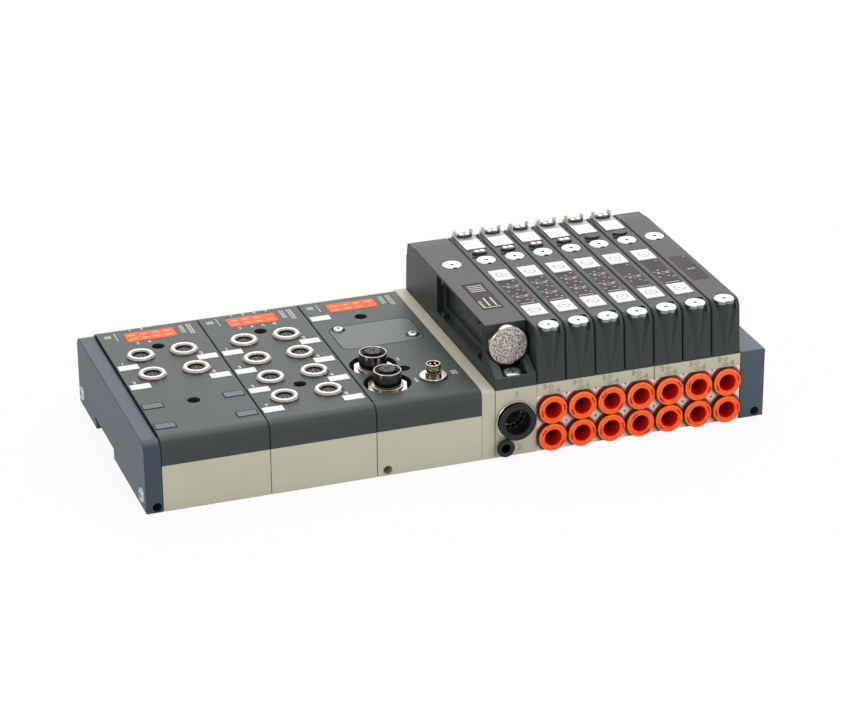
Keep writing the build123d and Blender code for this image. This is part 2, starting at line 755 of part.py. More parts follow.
def supply_ports():
    """Name, place, radii of bush, collar flange, collar skirt and tube, and the bush's lengths."""
    supply = (SUPPLY_BUSH_R, SUPPLY_COLLAR_R, SUPPLY_SKIRT_R, SUPPLY_TUBE_R)
    pilot = (PILOT_BUSH_R, PILOT_COLLAR_R, PILOT_SKIRT_R, PILOT_TUBE_R)
    return [
        ("supply", SUPPLY_PORT, supply, (SUPPLY_BUSH_LENGTH, SUPPLY_BUSH_GRIP)),
        ("pilot", PILOT_PORT, pilot, (PILOT_BUSH_LENGTH, PILOT_BUSH_GRIP)),
    ]


def screw_grip(y):
    """How far a head's screw runs into the base: short at the front, over the cartridges."""
    return MID_SCREW_GRIP if y == MID_SCREW_Y else FRONT_SCREW_GRIP


def head_screw_hole(x, y):
    """Threaded hole in a base under a screw of a head."""
    return upright(x, y, (BASE_TOP - screw_grip(y), BASE_TOP + 1), HEAD_SCREW_SHANK_R)


def supply_base():
    base = tall_base((SUPPLY_X, VALVES_X))
    for _, (x, z), (bush_r, *_), (length, grip) in supply_ports():
        base -= forward(SUPPLY_X + x, z, (-1, grip), bush_r)
        base -= forward(SUPPLY_X + x, z, (-1, length), bush_r - EDGE)
    centre = SUPPLY_X + SUPPLY_WIDTH / 2
    return base - head_screw_hole(centre, FOOT_SCREW_Y) - head_screw_hole(centre, MID_SCREW_Y)


def valve_base(first, count):
    """Base of several places: a recess for the cartridges' plates, a bay for their barrels."""
    span = (VALVES_X + VALVE_PITCH * first, VALVES_X + VALVE_PITCH * (first + count))
    base = tall_base(span)
    base -= block(span, (-1, TILE_SET_BACK + TILE_THICK), (-1, TILES_TOP + TILE_GAP))
    places = PLACE_X[first:first + count]
    base -= barrels((places[0], places[-1]), (ROWS_Z["lower"], ROWS_Z["upper"]), 0)
    for x in places:
        base = base - head_screw_hole(x, MID_SCREW_Y) - head_screw_hole(x, FRONT_SCREW_Y)
    return base


# ---- heads

def head_outline():
    """Side view of a valve head: leaning front, rounded shoulder, stepped back."""
    corners = [
        (HEAD_FOOT_FRONT, BASE_TOP),
        (HEAD_FOOT_FRONT + HEAD_LEAN, HEAD_TOP),
        (HEAD_STEP_Y, HEAD_TOP),
        (HEAD_STEP_Y + 2 * HEAD_STEP, HEAD_TOP - HEAD_STEP),
        (HEAD_BACK, HEAD_TOP - HEAD_BACK_FALL),
        (HEAD_FOOT_BACK - 2 * LEDGE_OUT - LEDGE_OUT, LEDGE_TOP),
        (HEAD_FOOT_BACK - 2 * LEDGE_OUT, LEDGE_TOP),
        (HEAD_FOOT_BACK, BASE_TOP),
    ]
    face = make_face(Polyline(*corners, close=True))
    top = face.vertices().sort_by(Axis.X)
    shoulder = [v for v in top if abs(v.Y - HEAD_TOP) < EDGE and v.X < HEAD_FRONT_ROUND]
    face = fillet(shoulder, HEAD_FRONT_ROUND)
    back = [v for v in face.vertices() if abs(v.X - HEAD_BACK) < EDGE]
    return fillet(back, HEAD_BACK_ROUND)


def head_block(x):
    half = (VALVE_PITCH - HEAD_GAP) / 2
    return eased(across(head_outline(), (x - half, x + half)), HEAD_EDGE)


def oblique_cone(x, foot, top, foot_r, top_r):
    """Cone between two level circles; foot and top hold (Y, Z)."""
    rings = [
        Plane.XY.offset(z) * Pos(x, y) * Circle(r)
        for (y, z), r in ((foot, foot_r), (top, top_r))
    ]
    return loft(rings, ruled=True)


def screw_seat_z():
    return HEAD_TOP + HEAD_SCREW_PROUD - HEAD_SCREW_THICK


def screwed(head, x, y):
    """Head with the counterbore and the hole of a flat screw."""
    seat = screw_seat_z()
    head -= upright(x, y, (seat, HEAD_TOP + 5), HEAD_SCREW_R + HEAD_SCREW_PLAY)
    return head - upright(x, y, (BASE_TOP - 1, seat + 1), HEAD_SCREW_SHANK_R + SEAT_PLAY)


def head_with_column(x):
    """Head with the tapering screw column that stands out of its front between two valleys."""
    seat = screw_seat_z()
    foot_y = HEAD_FOOT_FRONT + COLUMN_FOOT_R
    valley = oblique_cone(
        x,
        (foot_y - COLUMN_FOOT_R, COLUMN_FOOT_Z),
        (FRONT_SCREW_Y - VALLEY_FORWARD, seat),
        COLUMN_FOOT_R,
        VALLEY_R,
    )
    column = oblique_cone(
        x, (foot_y, COLUMN_FOOT_Z), (FRONT_SCREW_Y, seat), COLUMN_FOOT_R, COLUMN_R
    )
    head = head_block(x) - valley + column
    return screwed(screwed(head, x, FRONT_SCREW_Y), x, MID_SCREW_Y)


def lens_spots(x):
    offset = (LENS_SIZE + LENS_GAP) / 2
    return (x - offset, x + offset)


def lens(x, y, top):
    half = LENS_SIZE / 2
    z = (HEAD_TOP + top - LENS_SINK, HEAD_TOP + top + LENS_PROUD)
    return block((x - half, x + half), (y - half, y + half), z)


def plate_outline(x, y, grown):
    return Pos(x, y) * Rectangle(PLATE_SIZE[0] + 2 * grown, PLATE_SIZE[1] + 2 * grown)


def valve_head(x, lamps):
    """Solenoid valve: override pockets and wells, lamp bosses, label cover's bed, holes."""
    head = head_with_column(x)
    bed = (COVER_PLATE_Y[0] - SEAT_PLAY, HEAD_BACK - HEAD_BACK_ROUND / 2)
    half = COVER_PLATE_WIDTH / 2 + SEAT_PLAY
    head -= block((x - half, x + half), bed, (HEAD_TOP - COVER_PLATE_SINK, HEAD_TOP + 1))
    for y, top in zip(BOSS_Y, BOSS_TOP):
        oval = Pos(x, y) * Ellipse(*BOSS_HALF)
        head += raised(oval, (HEAD_TOP - 2 * COVER_PLATE_SINK, HEAD_TOP + top))
    for y, top in lamps:
        for lx in lens_spots(x):
            head -= lens(lx, y, top)
    for y in OVERRIDE_Y:
        floor = HEAD_TOP + PLATE_PROUD - PLATE_THICK
        head -= raised(plate_outline(x, y, SEAT_PLAY), (floor, HEAD_TOP + 1))
        well = button_z()[0] - BUTTON_TRAVEL - BUTTON_PLAY
        head -= upright(x, y, (well, HEAD_TOP), BUTTON_R + BUTTON_PLAY)
    vent = (HEAD_TOP - VENT_DEPTH, HEAD_TOP + 1)
    head -= upright(x + VENT_SPOT[0], VENT_SPOT[1], vent, VENT_R)
    slot = Pos(x + SLOT_HOLE_SPOT[0], SLOT_HOLE_SPOT[1]) * SlotOverall(*SLOT_HOLE)
    return head - raised(slot, vent)


def button_z():
    top = HEAD_TOP + PLATE_PROUD + BUTTON_PROUD
    return (top - BUTTON_HEIGHT, top)


def override_plate(x, y):
    bottom = HEAD_TOP + PLATE_PROUD - PLATE_THICK
    plate = raised(plate_outline(x, y, 0), (bottom, bottom + PLATE_THICK))
    plate = chamfer(plate.edges().group_by(Axis.Z)[-1], EDGE / 2)
    return plate - upright(x, y, (bottom - 1, HEAD_TOP + 2), BUTTON_R + BUTTON_PLAY)


def override_button(x, y):
    z = button_z()
    button = upright(x, y, z, BUTTON_R)
    button = chamfer(button.edges().group_by(Axis.Z)[-1], EDGE / 2)
    return button - Pos(x, y, z[1]) * Box(BUTTON_SLOT[0], BUTTON_SLOT[1], 2 * BUTTON_SLOT[2])


def label_cover(x):
    """Clear plate over the paper label, with pegs at its back corners."""
    bottom = HEAD_TOP - COVER_PLATE_SINK
    half = COVER_PLATE_WIDTH / 2
    z = (bottom, bottom + COVER_PLATE_THICK)
    plate = block((x - half, x + half), COVER_PLATE_Y, z)
    for side in (-1, 1):
        peg_x = x + side * COVER_PEG_X
        peg_y = COVER_PLATE_Y[1] - COVER_PEG_INSET
        plate += upright(peg_x, peg_y, (z[0], z[1] + COVER_PEG_HEIGHT), COVER_PEG_R)
    hole = Pos(x, BOSS_Y[1]) * Ellipse(BOSS_HALF[0] + BOSS_PLAY, BOSS_HALF[1] + BOSS_PLAY)
    return plate - raised(hole, (z[0] - 1, HEAD_TOP + COVER_PEG_HEIGHT + 2))


def head_screw(x, y):
    """Flat round screw with a small drive and a notch in its rim."""
    seat = screw_seat_z()
    top = seat + HEAD_SCREW_THICK
    screw = upright(x, y, (seat, top), HEAD_SCREW_R)
    screw = chamfer(screw.edges().group_by(Axis.Z)[-1], EDGE)
    notch_y = y - HEAD_SCREW_R - HEAD_SCREW_NOTCH_R / 2
    screw -= upright(x, notch_y, (seat - 1, top + 1), HEAD_SCREW_NOTCH_R)
    screw -= upright(x, y, (top - DRIVE_DEPTH, top + 1), DRIVE_R)
    return screw + upright(x, y, (BASE_TOP - screw_grip(y), seat + EDGE), HEAD_SCREW_SHANK_R)


# ---- supply head and silencer

def supply_head():
    """Supply head: foot with a ramp, silencer's seat, and the window with its catches."""
    corners = [
        (0, BASE_TOP),
        (0, FOOT_TOP),
        (SUPPLY_FRONT, RAMP_TOP),
        (SUPPLY_FRONT, HEAD_TOP),
        (HEAD_STEP_Y, HEAD_TOP),
        (HEAD_STEP_Y + 2 * HEAD_STEP, HEAD_TOP - HEAD_STEP),
        (HEAD_BACK, HEAD_TOP - HEAD_BACK_FALL),
        (HEAD_FOOT_BACK - 3 * LEDGE_OUT, LEDGE_TOP),
        (HEAD_FOOT_BACK - 2 * LEDGE_OUT, LEDGE_TOP),
        (HEAD_FOOT_BACK, BASE_TOP),
    ]
    outline = make_face(Polyline(*corners, close=True))
    back = [v for v in outline.vertices() if abs(v.X - HEAD_BACK) < EDGE]
    span = (SUPPLY_X, VALVES_X - HEAD_GAP / 2)
    head = eased(across(fillet(back, HEAD_BACK_ROUND), span), EDGE)
    centre = SUPPLY_X + SUPPLY_WIDTH / 2
    # The window: a shallow recess, a deeper panel in it, and two pairs of catches.
    recess = block((span[0] - 1, span[0] + WINDOW_DEPTH), WINDOW_Y, WINDOW_Z)
    panel_y = (WINDOW_Y[0] + WINDOW_PANEL_INSET, WINDOW_Y[1] - WINDOW_PANEL_INSET)
    panel_z = (WINDOW_Z[0] + WINDOW_PANEL_INSET, WINDOW_Z[1] - WINDOW_PANEL_INSET)
    panel = block((span[0], span[0] + WINDOW_DEPTH + WINDOW_PANEL_DEPTH), panel_y, panel_z)
    head = head - recess - panel
    for y in CATCH_Y:
        width = (y - CATCH_SIZE[0] / 2, y + CATCH_SIZE[0] / 2)
        depth = (span[0] + EDGE, span[0] + WINDOW_DEPTH)
        head += block(depth, width, (WINDOW_Z[0], WINDOW_Z[0] + CATCH_SIZE[1]))
        head += block(depth, width, (WINDOW_Z[1] - CATCH_SIZE[1], WINDOW_Z[1]))
    # The foot's scoop under the silencer, the pocket of the foot's screw and its hole.
    head -= forward(centre, SILENCER_Z, (-1, SUPPLY_FRONT), SILENCER_R + SILENCER_PLAY)
    half = FOOT_POCKET_WIDTH / 2
    pocket_y = (FOOT_SCREW_Y - FOOT_HEAD_R - SEAT_PLAY, SUPPLY_FRONT)
    head -= block((centre - half, centre + half), pocket_y, (FOOT_POCKET_FLOOR, SILENCER_Z))
    hole = (BASE_TOP - 1, FOOT_POCKET_FLOOR + 1)
    head -= upright(centre, FOOT_SCREW_Y, hole, HEAD_SCREW_SHANK_R + SEAT_PLAY)
    neck_end = SUPPLY_FRONT + SILENCER_NECK
    head -= forward(centre, SILENCER_Z, (0, neck_end), SILENCER_NECK_R)
    return screwed(head, centre, MID_SCREW_Y)


def silencer():
    """Nickelled cup screwed into the head, and the sintered disc pressed into it."""
    x = SUPPLY_X + SUPPLY_WIDTH / 2
    front = SUPPLY_FRONT - SILENCER_PROUD
    inner = SILENCER_R - SILENCER_RIM
    disc_back = front + EDGE + SILENCER_DISC
    bore = SILENCER_NECK_R - SILENCER_NECK_WALL
    cup = spun(x, SILENCER_Z, [
        (inner, front),
        (SILENCER_R - EDGE, front),
        (SILENCER_R, front + EDGE),
        (SILENCER_R, SUPPLY_FRONT),
        (SILENCER_NECK_R, SUPPLY_FRONT),
        (SILENCER_NECK_R, SUPPLY_FRONT + SILENCER_NECK),
        (bore, SUPPLY_FRONT + SILENCER_NECK),
        (bore, disc_back),
        (inner, disc_back),
    ])
    disc = forward(x, SILENCER_Z, (front + EDGE, disc_back), inner)
    return [cup, disc]


def foot_screw():
    x = SUPPLY_X + SUPPLY_WIDTH / 2
    head = Pos(x, FOOT_SCREW_Y, FOOT_POCKET_FLOOR) * pan_head(FOOT_HEAD_R, FOOT_HEAD_HEIGHT)
    bottom = BASE_TOP - screw_grip(FOOT_SCREW_Y)
    return head + upright(x, FOOT_SCREW_Y, (bottom, FOOT_POCKET_FLOOR + EDGE), HEAD_SCREW_SHANK_R)


# ---- the nodes

def build():
    os.makedirs("parts", exist_ok=True)
    input_rows = (M8_ROWS[2:], M8_ROWS)
    sockets = [spot for x, rows in zip(INPUT_X, input_rows) for spot in socket_spots(x, rows)]
    m12_spots = [(BUS_X + x, y) for x, y in M12_SPOTS]
    clamps = (LEFT_CLAMP_X, BUS_X + BUS_CLAMP_X, RIGHT_X + RIGHT_CLAMP_X)
    valves = PLACE_X[:VALVE_COUNT]
    places = list(enumerate(PLACE_X, start=1))

    export("left_end_plate", [left_end_plate()])
    export("right_end_plate", [right_end_plate()])
    export("pan_screws", [tie_screw(y, z) for y, z in tie_spots()] + [foot_screw()])
    export("rail_clamps", [clamp_jaw(x) for x in clamps] + [clamp_screw(x) for x in clamps])

    first_base = module_base(INPUT_X[0], INPUT_WIDTH, INPUT_SCREW_SEAT) - tie_holes(INPUT_X[0])
    export("input_base_1", [first_base])
    export("input_base_2", [module_base(INPUT_X[1], INPUT_WIDTH, INPUT_SCREW_SEAT)])
    export("bus_base", [bus_base()])
    for number, (x, rows) in enumerate(zip(INPUT_X, input_rows), start=1):
        export(f"input_cover_{number}", [input_cover(x, rows)])
    export("bus_cover", [bus_cover()])
    export("service_lid", [service_lid()])

    modules = [(x, INPUT_WIDTH, INPUT_SCREW_SEAT) for x in INPUT_X]
    modules.append((BUS_X, BUS_WIDTH, BUS_SCREW_SEAT))
    screws = [cover_screw(sx, sy, seat) for x, _, seat in modules for sx, sy in cover_screw_spots(x)]
    export("cover_screws", screws + [lid_screw(x, y) for x, y in lid_screw_spots()])
    boards = [circuit_board(x, width) for x, width, _ in modules]
    export("circuit_boards", boards)
    export("indicator_windows", [indicator_window(x) for x, _, _ in modules])
    tags = [tag(tx, ty) for x in INPUT_X for tx, ty in tag_spots(x)]
    export("marking_tags", tags + [tag(BUS_X + BUS_TAG[0], BUS_TAG[1])])

    export("m8_sockets", [m8_socket(x, y) for x, y in sockets])
    export("m12_sockets", [m12_socket(x, y) for x, y in m12_spots])
    export("power_plug", power_plug())
    m8_top = COVER_TOP + M8_FLANGE_HEIGHT - M8_DEPTH
    m12_top = M12_TOP - M12_CARRIER_DROP
    carriers = [
        carrier(x, y, m8_top, M8_CARRIER_R, 3, M8_CONTACT_CIRCLE, M8_CONTACT_R) for x, y in sockets
    ]
    carriers += [
        carrier(x, y, m12_top, M12_CARRIER_R, 5, M12_CONTACT_CIRCLE, M12_CONTACT_R)
        for x, y in m12_spots
    ]
    export("contact_carriers", carriers + [plug_carrier()])

    export("supply_base", [supply_base()])
    export("supply_head", [supply_head()])
    export("silencer", silencer())
    bushes = []
    for name, (px, z), (bush_r, collar_r, skirt_r, tube_r), lengths in supply_ports():
        x = SUPPLY_X + px
        bushes.append(supply_bush(x, z, bush_r, skirt_r, tube_r, *lengths))
        export(f"{name}_collar", [release_collar(x, z, collar_r, skirt_r, tube_r, BUSH_PROUD)])
    export("supply_fittings", bushes)

    first = 0
    for count in PLACES_PER_BASE:
        export(f"valve_base_{count}", [valve_base(first, count)])
        first += count
    export("cartridges", [cartridge(x, z) for x in PLACE_X for z in ROWS_Z.values()])
    for place, x in places:
        for row, z in ROWS_Z.items():
            collar = release_collar(x, z, COLLAR_R, COLLAR_SKIRT_R, TUBE_R, SLEEVE_PROUD)
            export(f"collar_{place}_{row}", [collar])

    both = list(zip(BOSS_Y, BOSS_TOP))
    lamps = [both] * DOUBLE_LAMP_VALVES + [both[1:]] * (VALVE_COUNT - DOUBLE_LAMP_VALVES)
    export("valve_heads", [valve_head(x, lit) for x, lit in zip(valves, lamps)])
    lenses = []
    for x, lit in zip(valves, lamps):
        lenses += [lens(lx, y, top) for y, top in lit for lx in lens_spots(x)]
    export("lamp_lenses", lenses)
    export("label_covers", [label_cover(x) for x in valves])
    export("override_plates", [override_plate(x, y) for x in valves for y in OVERRIDE_Y])
    for number, x in enumerate(valves, start=1):
        for side, y in zip(("front", "back"), OVERRIDE_Y):
            export(f"override_{number}_{side}", [override_button(x, y)])
    export("blanking_head", [head_with_column(x) for x in PLACE_X[VALVE_COUNT:]])
    head_screws = [head_screw(x, y) for x in PLACE_X for y in (FRONT_SCREW_Y, MID_SCREW_Y)]
    export("head_screws", head_screws + [head_screw(SUPPLY_X + SUPPLY_WIDTH / 2, MID_SCREW_Y)])


build()
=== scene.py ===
import math

import bmesh
import bpy
from mathutils import Matrix, Vector


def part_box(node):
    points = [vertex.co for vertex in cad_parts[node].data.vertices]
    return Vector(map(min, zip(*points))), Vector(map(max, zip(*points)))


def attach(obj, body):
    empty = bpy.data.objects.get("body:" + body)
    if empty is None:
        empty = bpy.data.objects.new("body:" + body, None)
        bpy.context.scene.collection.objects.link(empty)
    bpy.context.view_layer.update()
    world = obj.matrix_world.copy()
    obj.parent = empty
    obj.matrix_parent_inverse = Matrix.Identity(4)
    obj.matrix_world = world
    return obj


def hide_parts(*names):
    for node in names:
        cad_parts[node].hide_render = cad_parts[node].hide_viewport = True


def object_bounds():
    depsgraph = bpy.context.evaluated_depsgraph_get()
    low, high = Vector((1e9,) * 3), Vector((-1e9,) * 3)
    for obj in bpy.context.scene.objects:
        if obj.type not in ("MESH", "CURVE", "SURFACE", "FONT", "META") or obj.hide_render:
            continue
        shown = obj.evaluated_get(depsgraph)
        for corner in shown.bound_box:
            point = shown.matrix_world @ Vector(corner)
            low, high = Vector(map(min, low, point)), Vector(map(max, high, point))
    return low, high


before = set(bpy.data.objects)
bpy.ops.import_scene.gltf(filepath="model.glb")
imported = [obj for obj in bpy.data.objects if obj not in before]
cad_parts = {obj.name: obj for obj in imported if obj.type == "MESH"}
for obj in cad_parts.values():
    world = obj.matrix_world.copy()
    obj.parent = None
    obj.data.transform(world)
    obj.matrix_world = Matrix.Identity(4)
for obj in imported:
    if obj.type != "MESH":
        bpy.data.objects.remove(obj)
cad_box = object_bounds()

# ---- Bases of the row
# Trays of the electronic modules and blocks of the valve places, which stand side by side on
# the rail. Each is moulded in a cream glass-filled plastic with a fine spark-eroded skin.

MM = 0.001


def tone(red, green, blue):
    """A colour given as it looks, 0 to 255, turned into the values that a shader takes."""
    linear = [((v / 255 + 0.055) / 1.055) ** 2.4 if v > 10 else v / 3295 for v in (red, green, blue)]
    return (*linear, 1.0)


class Wire:
    """The output of a node, so that sums on it read as plain arithmetic."""

    def __init__(self, nodes, socket):
        self.nodes = nodes
        self.socket = socket

    def __add__(self, other):
        return self.nodes.maths("ADD", self, other)

    __radd__ = __add__

    def __sub__(self, other):
        return self.nodes.maths("SUBTRACT", self, other)

    def __rsub__(self, other):
        return self.nodes.maths("SUBTRACT", other, self)

    def __mul__(self, other):
        return self.nodes.maths("MULTIPLY", self, other)

    __rmul__ = __mul__

    def __gt__(self, other):
        return self.nodes.maths("GREATER_THAN", self, other)

    def __lt__(self, other):
        return self.nodes.maths("LESS_THAN", self, other)


class Nodes:
    """Adds nodes to one tree, and puts values or wires into their sockets."""

    def node(self, kind, settings=None, values=None, output=0):
        """Adds a node: its settings come first, then the values or wires of its sockets."""
        made = self.tree.nodes.new(kind)
        for name, value in (settings or {}).items():
            setattr(made, name, value)
        for name, value in (values or {}).items():
            self.join(value, made.inputs[name])
        return Wire(self, made.outputs[output])

    def join(self, value, socket):
        if isinstance(value, Wire):
            self.tree.links.new(value.socket, socket)
        else:
            socket.default_value = value

    def maths(self, operation, first, second=0.0):
        return self.node("ShaderNodeMath", {"operation": operation}, {0: first, 1: second})


class Finish(Nodes):
    """A material: what is the same all over is set at once, what varies is wired in after."""

    def __init__(self, name, **fixed):
        self.material = bpy.data.materials.new(name)
        self.material.use_nodes = True
        self.tree = self.material.node_tree
        self.shader = self.tree.nodes["Principled BSDF"]
        for key, value in fixed.items():
            self.shader.inputs[key.replace("_", " ").title().replace("Ior", "IOR")].default_value = value
        self.place = self.node("ShaderNodeTexCoord", output="Object")

    def speckle(self, per_metre, detail=2.0, place=None):
        """Noise that clouds a surface, with so many spots to the metre."""
        values = {"Vector": place or self.place, "Scale": per_metre, "Detail": detail}
        return self.node("ShaderNodeTexNoise", values=values)

    def blend(self, share, first, second):
        """A colour between two, by a share that may change over the surface."""
        values = {0: share, 6: first, 7: second}
        return self.node("ShaderNodeMix", {"data_type": "RGBA"}, values, output=2)

    def along(self, axis):
        """The place on the surface along one axis of the object, in metres."""
        return self.node("ShaderNodeSeparateXYZ", values={0: self.place}, output=axis)

    def colour(self, value):
        self.join(value, self.shader.inputs["Base Color"])

    def rough(self, value):
        self.join(value, self.shader.inputs["Roughness"])

    def relief(self, height, depth, strength=1.0):
        """Bumps of a depth in metres."""
        values = {"Height": height, "Distance": depth, "Strength": strength}
        self.join(self.node("ShaderNodeBump", values=values), self.shader.inputs["Normal"])


def moulded(name, dark, pale, low, high, skin, **fixed):
    """Moulded plastic: slow clouding in its colour, and a fine skin that breaks up the gloss."""
    finish = Finish(name, **fixed)
    cloud = finish.speckle(45.0, 3.0)
    fine = finish.speckle(2600.0, 3.0)
    grain = finish.speckle(1300.0, 1.0)
    finish.tint = finish.blend(cloud * 0.45 + fine * 0.55, dark, pale)
    finish.colour(finish.tint)
    finish.rough(fine * (high - low) + low)
    finish.relief(fine * 0.6 + grain * 0.4, skin)
    return finish


def dress(node, *finishes, pick=None):
    """Gives a CAD node its finishes; pick tells which one a face takes from its middle."""
    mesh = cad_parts[node].data
    mesh.materials.clear()
    for finish in finishes:
        mesh.materials.append(finish.material)
    for face in mesh.polygons:
        face.material_index = int(pick(face.center, face.normal)) if pick else 0


def joint_line(finish, joints, half, shade):
    """Paints shade into a finish along the joints between modules, where the gaps between them lie in shadow.
    """
    near = 0.0
    for x in joints:
        near = near + (finish.maths("ABSOLUTE", finish.along("X") - x) < half)
    finish.colour(finish.blend(near, finish.tint, shade))


MODULES = ("input_base_1", "input_base_2", "bus_base", "supply_base")
module_joints = [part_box(base)[0].x for base in (*MODULES, "valve_base_3")]
cream = moulded("cream_plastic", tone(176, 173, 150), tone(199, 196, 173), 0.38, 0.6, 0.04 * MM)
# Painted shade: the cream darkens to a brown grey in a narrow band at each joint.
joint_line(cream, module_joints, 0.16 * MM, tone(84, 80, 70))
for base in (*MODULES, "valve_base_4", "valve_base_3"):
    dress(base, cream)

# ---- Rail clamps and end plates
# The plates close the row's two ends. They are pressure-cast and powder-coated in a blue grey;
# a zinc-plated screw in each draws a steel jaw under the lip of the mounting rail.

plate_paint = moulded("blue_grey_paint", tone(29, 49, 62), tone(46, 66, 79), 0.38, 0.58, 0.06 * MM)
# Painted light: the right plate gets a paler copy of the same blue grey, for the brighter light on its front.
lit_right_paint = moulded("right_plate_lit_paint", tone(44, 62, 74), tone(62, 80, 92), 0.38, 0.58, 0.06 * MM)
dress("left_end_plate", plate_paint)
dress("right_end_plate", lit_right_paint)


def metal(name, dark, pale, low, high, scratch, **fixed):
    """Plated metal: faint clouding, and short scratches that vary the gloss."""
    finish = Finish(name, metallic=1.0, **fixed)
    cloud = finish.speckle(140.0, 3.0)
    mapped = finish.node("ShaderNodeMapping", values={"Vector": finish.place, "Scale": (1.0, 6.0, 6.0)})
    streak = finish.speckle(900.0, 3.0, mapped)
    finish.colour(finish.blend(cloud * 0.6 + streak * 0.4, dark, pale))
    finish.rough(streak * (high - low) + low)
    finish.relief(streak, scratch)
    return finish


zinc = metal("zinc_plate", tone(156, 166, 170), tone(188, 197, 200), 0.22, 0.38, 0.006 * MM)
for screws in ("rail_clamps", "pan_screws", "cover_screws"):
    dress(screws, zinc)

# ---- Circuit boards
# One board lies on the posts of each electronic module. Glass-fibre laminate under a green
# solder mask, with copper runs that show through as paler lines.

board_mask = Finish("solder_mask", coat_weight=0.4, coat_roughness=0.2)
runs = board_mask.node("ShaderNodeTexBrick", values={
    "Vector": board_mask.place,
    "Scale": 130.0,
    "Color1": tone(14, 74, 46),
    "Color2": tone(20, 88, 54),
    "Mortar": tone(46, 128, 74),
    "Mortar Size": 0.045,
})
board_mask.colour(runs)
board_mask.rough(board_mask.speckle(900.0) * 0.2 + 0.3)
dress("circuit_boards", board_mask)

# ---- Covers of the modules and the service lid
# Caps in a dark grey plastic with rounded long edges, screwed down through the deep wells.
# The lid over the switches of the bus module lies in its own seam and has two small screws.


def mottled(name, dark, pale, per_metre, detail=2.0, **fixed):
    """A finish whose colour drifts between two tones, in so many spots to the metre."""
    finish = Finish(name, **fixed)
    finish.colour(finish.blend(finish.speckle(per_metre, detail), dark, pale))
    return finish


def piece(name, mesh, body):
    """Puts a finished mesh in the scene as a piece that rides on a body."""
    made = bpy.data.objects.new(name, mesh)
    bpy.context.scene.collection.objects.link(made)
    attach(made, body)
    return made


def hoop(name, rings):
    """Mesh of closed rings of points, each joined to the next and the last one to the first."""
    made = bmesh.new()
    laid = [[made.verts.new(point) for point in ring] for ring in rings]
    for inner, outer in zip(laid, laid[1:] + laid[:1]):
        for i, corner in enumerate(inner):
            j = (i + 1) % len(inner)
            made.faces.new((corner, inner[j], outer[j], outer[i]))
    bmesh.ops.recalc_face_normals(made, faces=made.faces)
    mesh = bpy.data.meshes.new(name)
    made.to_mesh(mesh)
    made.free()
    return mesh


def slabs(name, outlines, low, high, finish):
    """Flat closed shapes, each an outline in X and Y carried from one height to another."""
    made = bmesh.new()
    for outline in outlines:
        area = sum(a[0] * b[1] - b[0] * a[1] for a, b in zip(outline, outline[1:] + outline[:1]))
        path = outline if area > 0 else outline[::-1]
        foot, crest = [[made.verts.new((x, y, z)) for x, y in path] for z in (low, high)]
        made.faces.new(foot[::-1])
        made.faces.new(crest)
        for i in range(len(path)):
            j = (i + 1) % len(path)
            made.faces.new((foot[i], foot[j], crest[j], crest[i]))
    mesh = bpy.data.meshes.new(name)
    made.to_mesh(mesh)
    made.free()
    mesh.materials.append(finish.material)
    return mesh


def oblong(x0, y0, x1, y1):
    """Outline of a rectangle."""
    return [(x0, y0), (x1, y0), (x1, y1), (x0, y1)]


def rounded(low, high, corner, grown):
    """Outline of a rectangle with rounded corners, grown outwards by a margin."""
    outline = []
    reach = corner + grown
    for x, y, start in ((high.x, high.y, 0), (low.x, high.y, 90), (low.x, low.y, 180), (high.x, low.y, 270)):
        middle_x = x + math.copysign(corner, low.x + high.x - 2 * x)
        middle_y = y + math.copysign(corner, low.y + high.y - 2 * y)
        for step in range(7):
            angle = math.radians(start + 15 * step)
            outline.append((middle_x + reach * math.cos(angle), middle_y + reach * math.sin(angle)))
    return outline


COVERS = ("input_cover_1", "input_cover_2", "bus_cover")
cap_plastic = moulded("cap_plastic", tone(28, 40, 38), tone(46, 58, 55), 0.4, 0.6, 0.05 * MM)
# Painted shade: the dark grey turns near-black in a narrow band at each joint between the covers.
joint_line(cap_plastic, module_joints[:3], 0.34 * MM, tone(6, 8, 8))
for cover in COVERS:
    dress(cover, cap_plastic)

lid_plastic = moulded("lid_plastic", tone(50, 62, 57), tone(66, 77, 71), 0.34, 0.46, 0.03 * MM)
dress("service_lid", lid_plastic)

# The seam round the lid and the slits between the covers are thin near-black strips of painted shade
# in the gaps. The seam's section goes out from the lid's edge and up from the cover's face, in millimetres.
SEAM_SECTION = ((-0.06, -0.02), (0.34, -0.02), (0.34, 0.01), (-0.06, 0.01))
LID_CORNER = 4.5 * MM
painted_shade_black = mottled(
    "painted_shade_black", tone(8, 9, 10), tone(18, 20, 21), 900.0, roughness=0.8, specular_ior_level=0.05
)
lid_low, lid_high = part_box("service_lid")
lid_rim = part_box("bus_cover")[1].z
seam_rings = []
for out, up in SEAM_SECTION:
    outline = rounded(lid_low, lid_high, LID_CORNER, out * MM)
    seam_rings.append([(x, y, lid_rim + up * MM) for x, y in outline])
lid_seam = hoop("lid_seam", seam_rings)
lid_seam.materials.append(painted_shade_black.material)
piece("lid_seam", lid_seam, "island")

SLIT_HALF = 0.4 * MM
SLIT_INSET = 6.0 * MM
cover_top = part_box("input_cover_1")[1].z
slits = []
for cover, x in zip(COVERS, module_joints):
    low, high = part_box(cover)
    slits.append(oblong(x - SLIT_HALF, low.y + SLIT_INSET, x + SLIT_HALF, high.y - SLIT_INSET))
slit_mesh = slabs("cap_seams", slits, cover_top - 0.4 * MM, cover_top + 0.015 * MM, painted_shade_black)
piece("cap_seams", slit_mesh, "island")

# ---- Indicator windows
# Orange translucent strips set flush in the covers, one lamp behind each pale dash. They are
# injection moulded and smooth; an unlit or faulty channel shows as a darker dash.


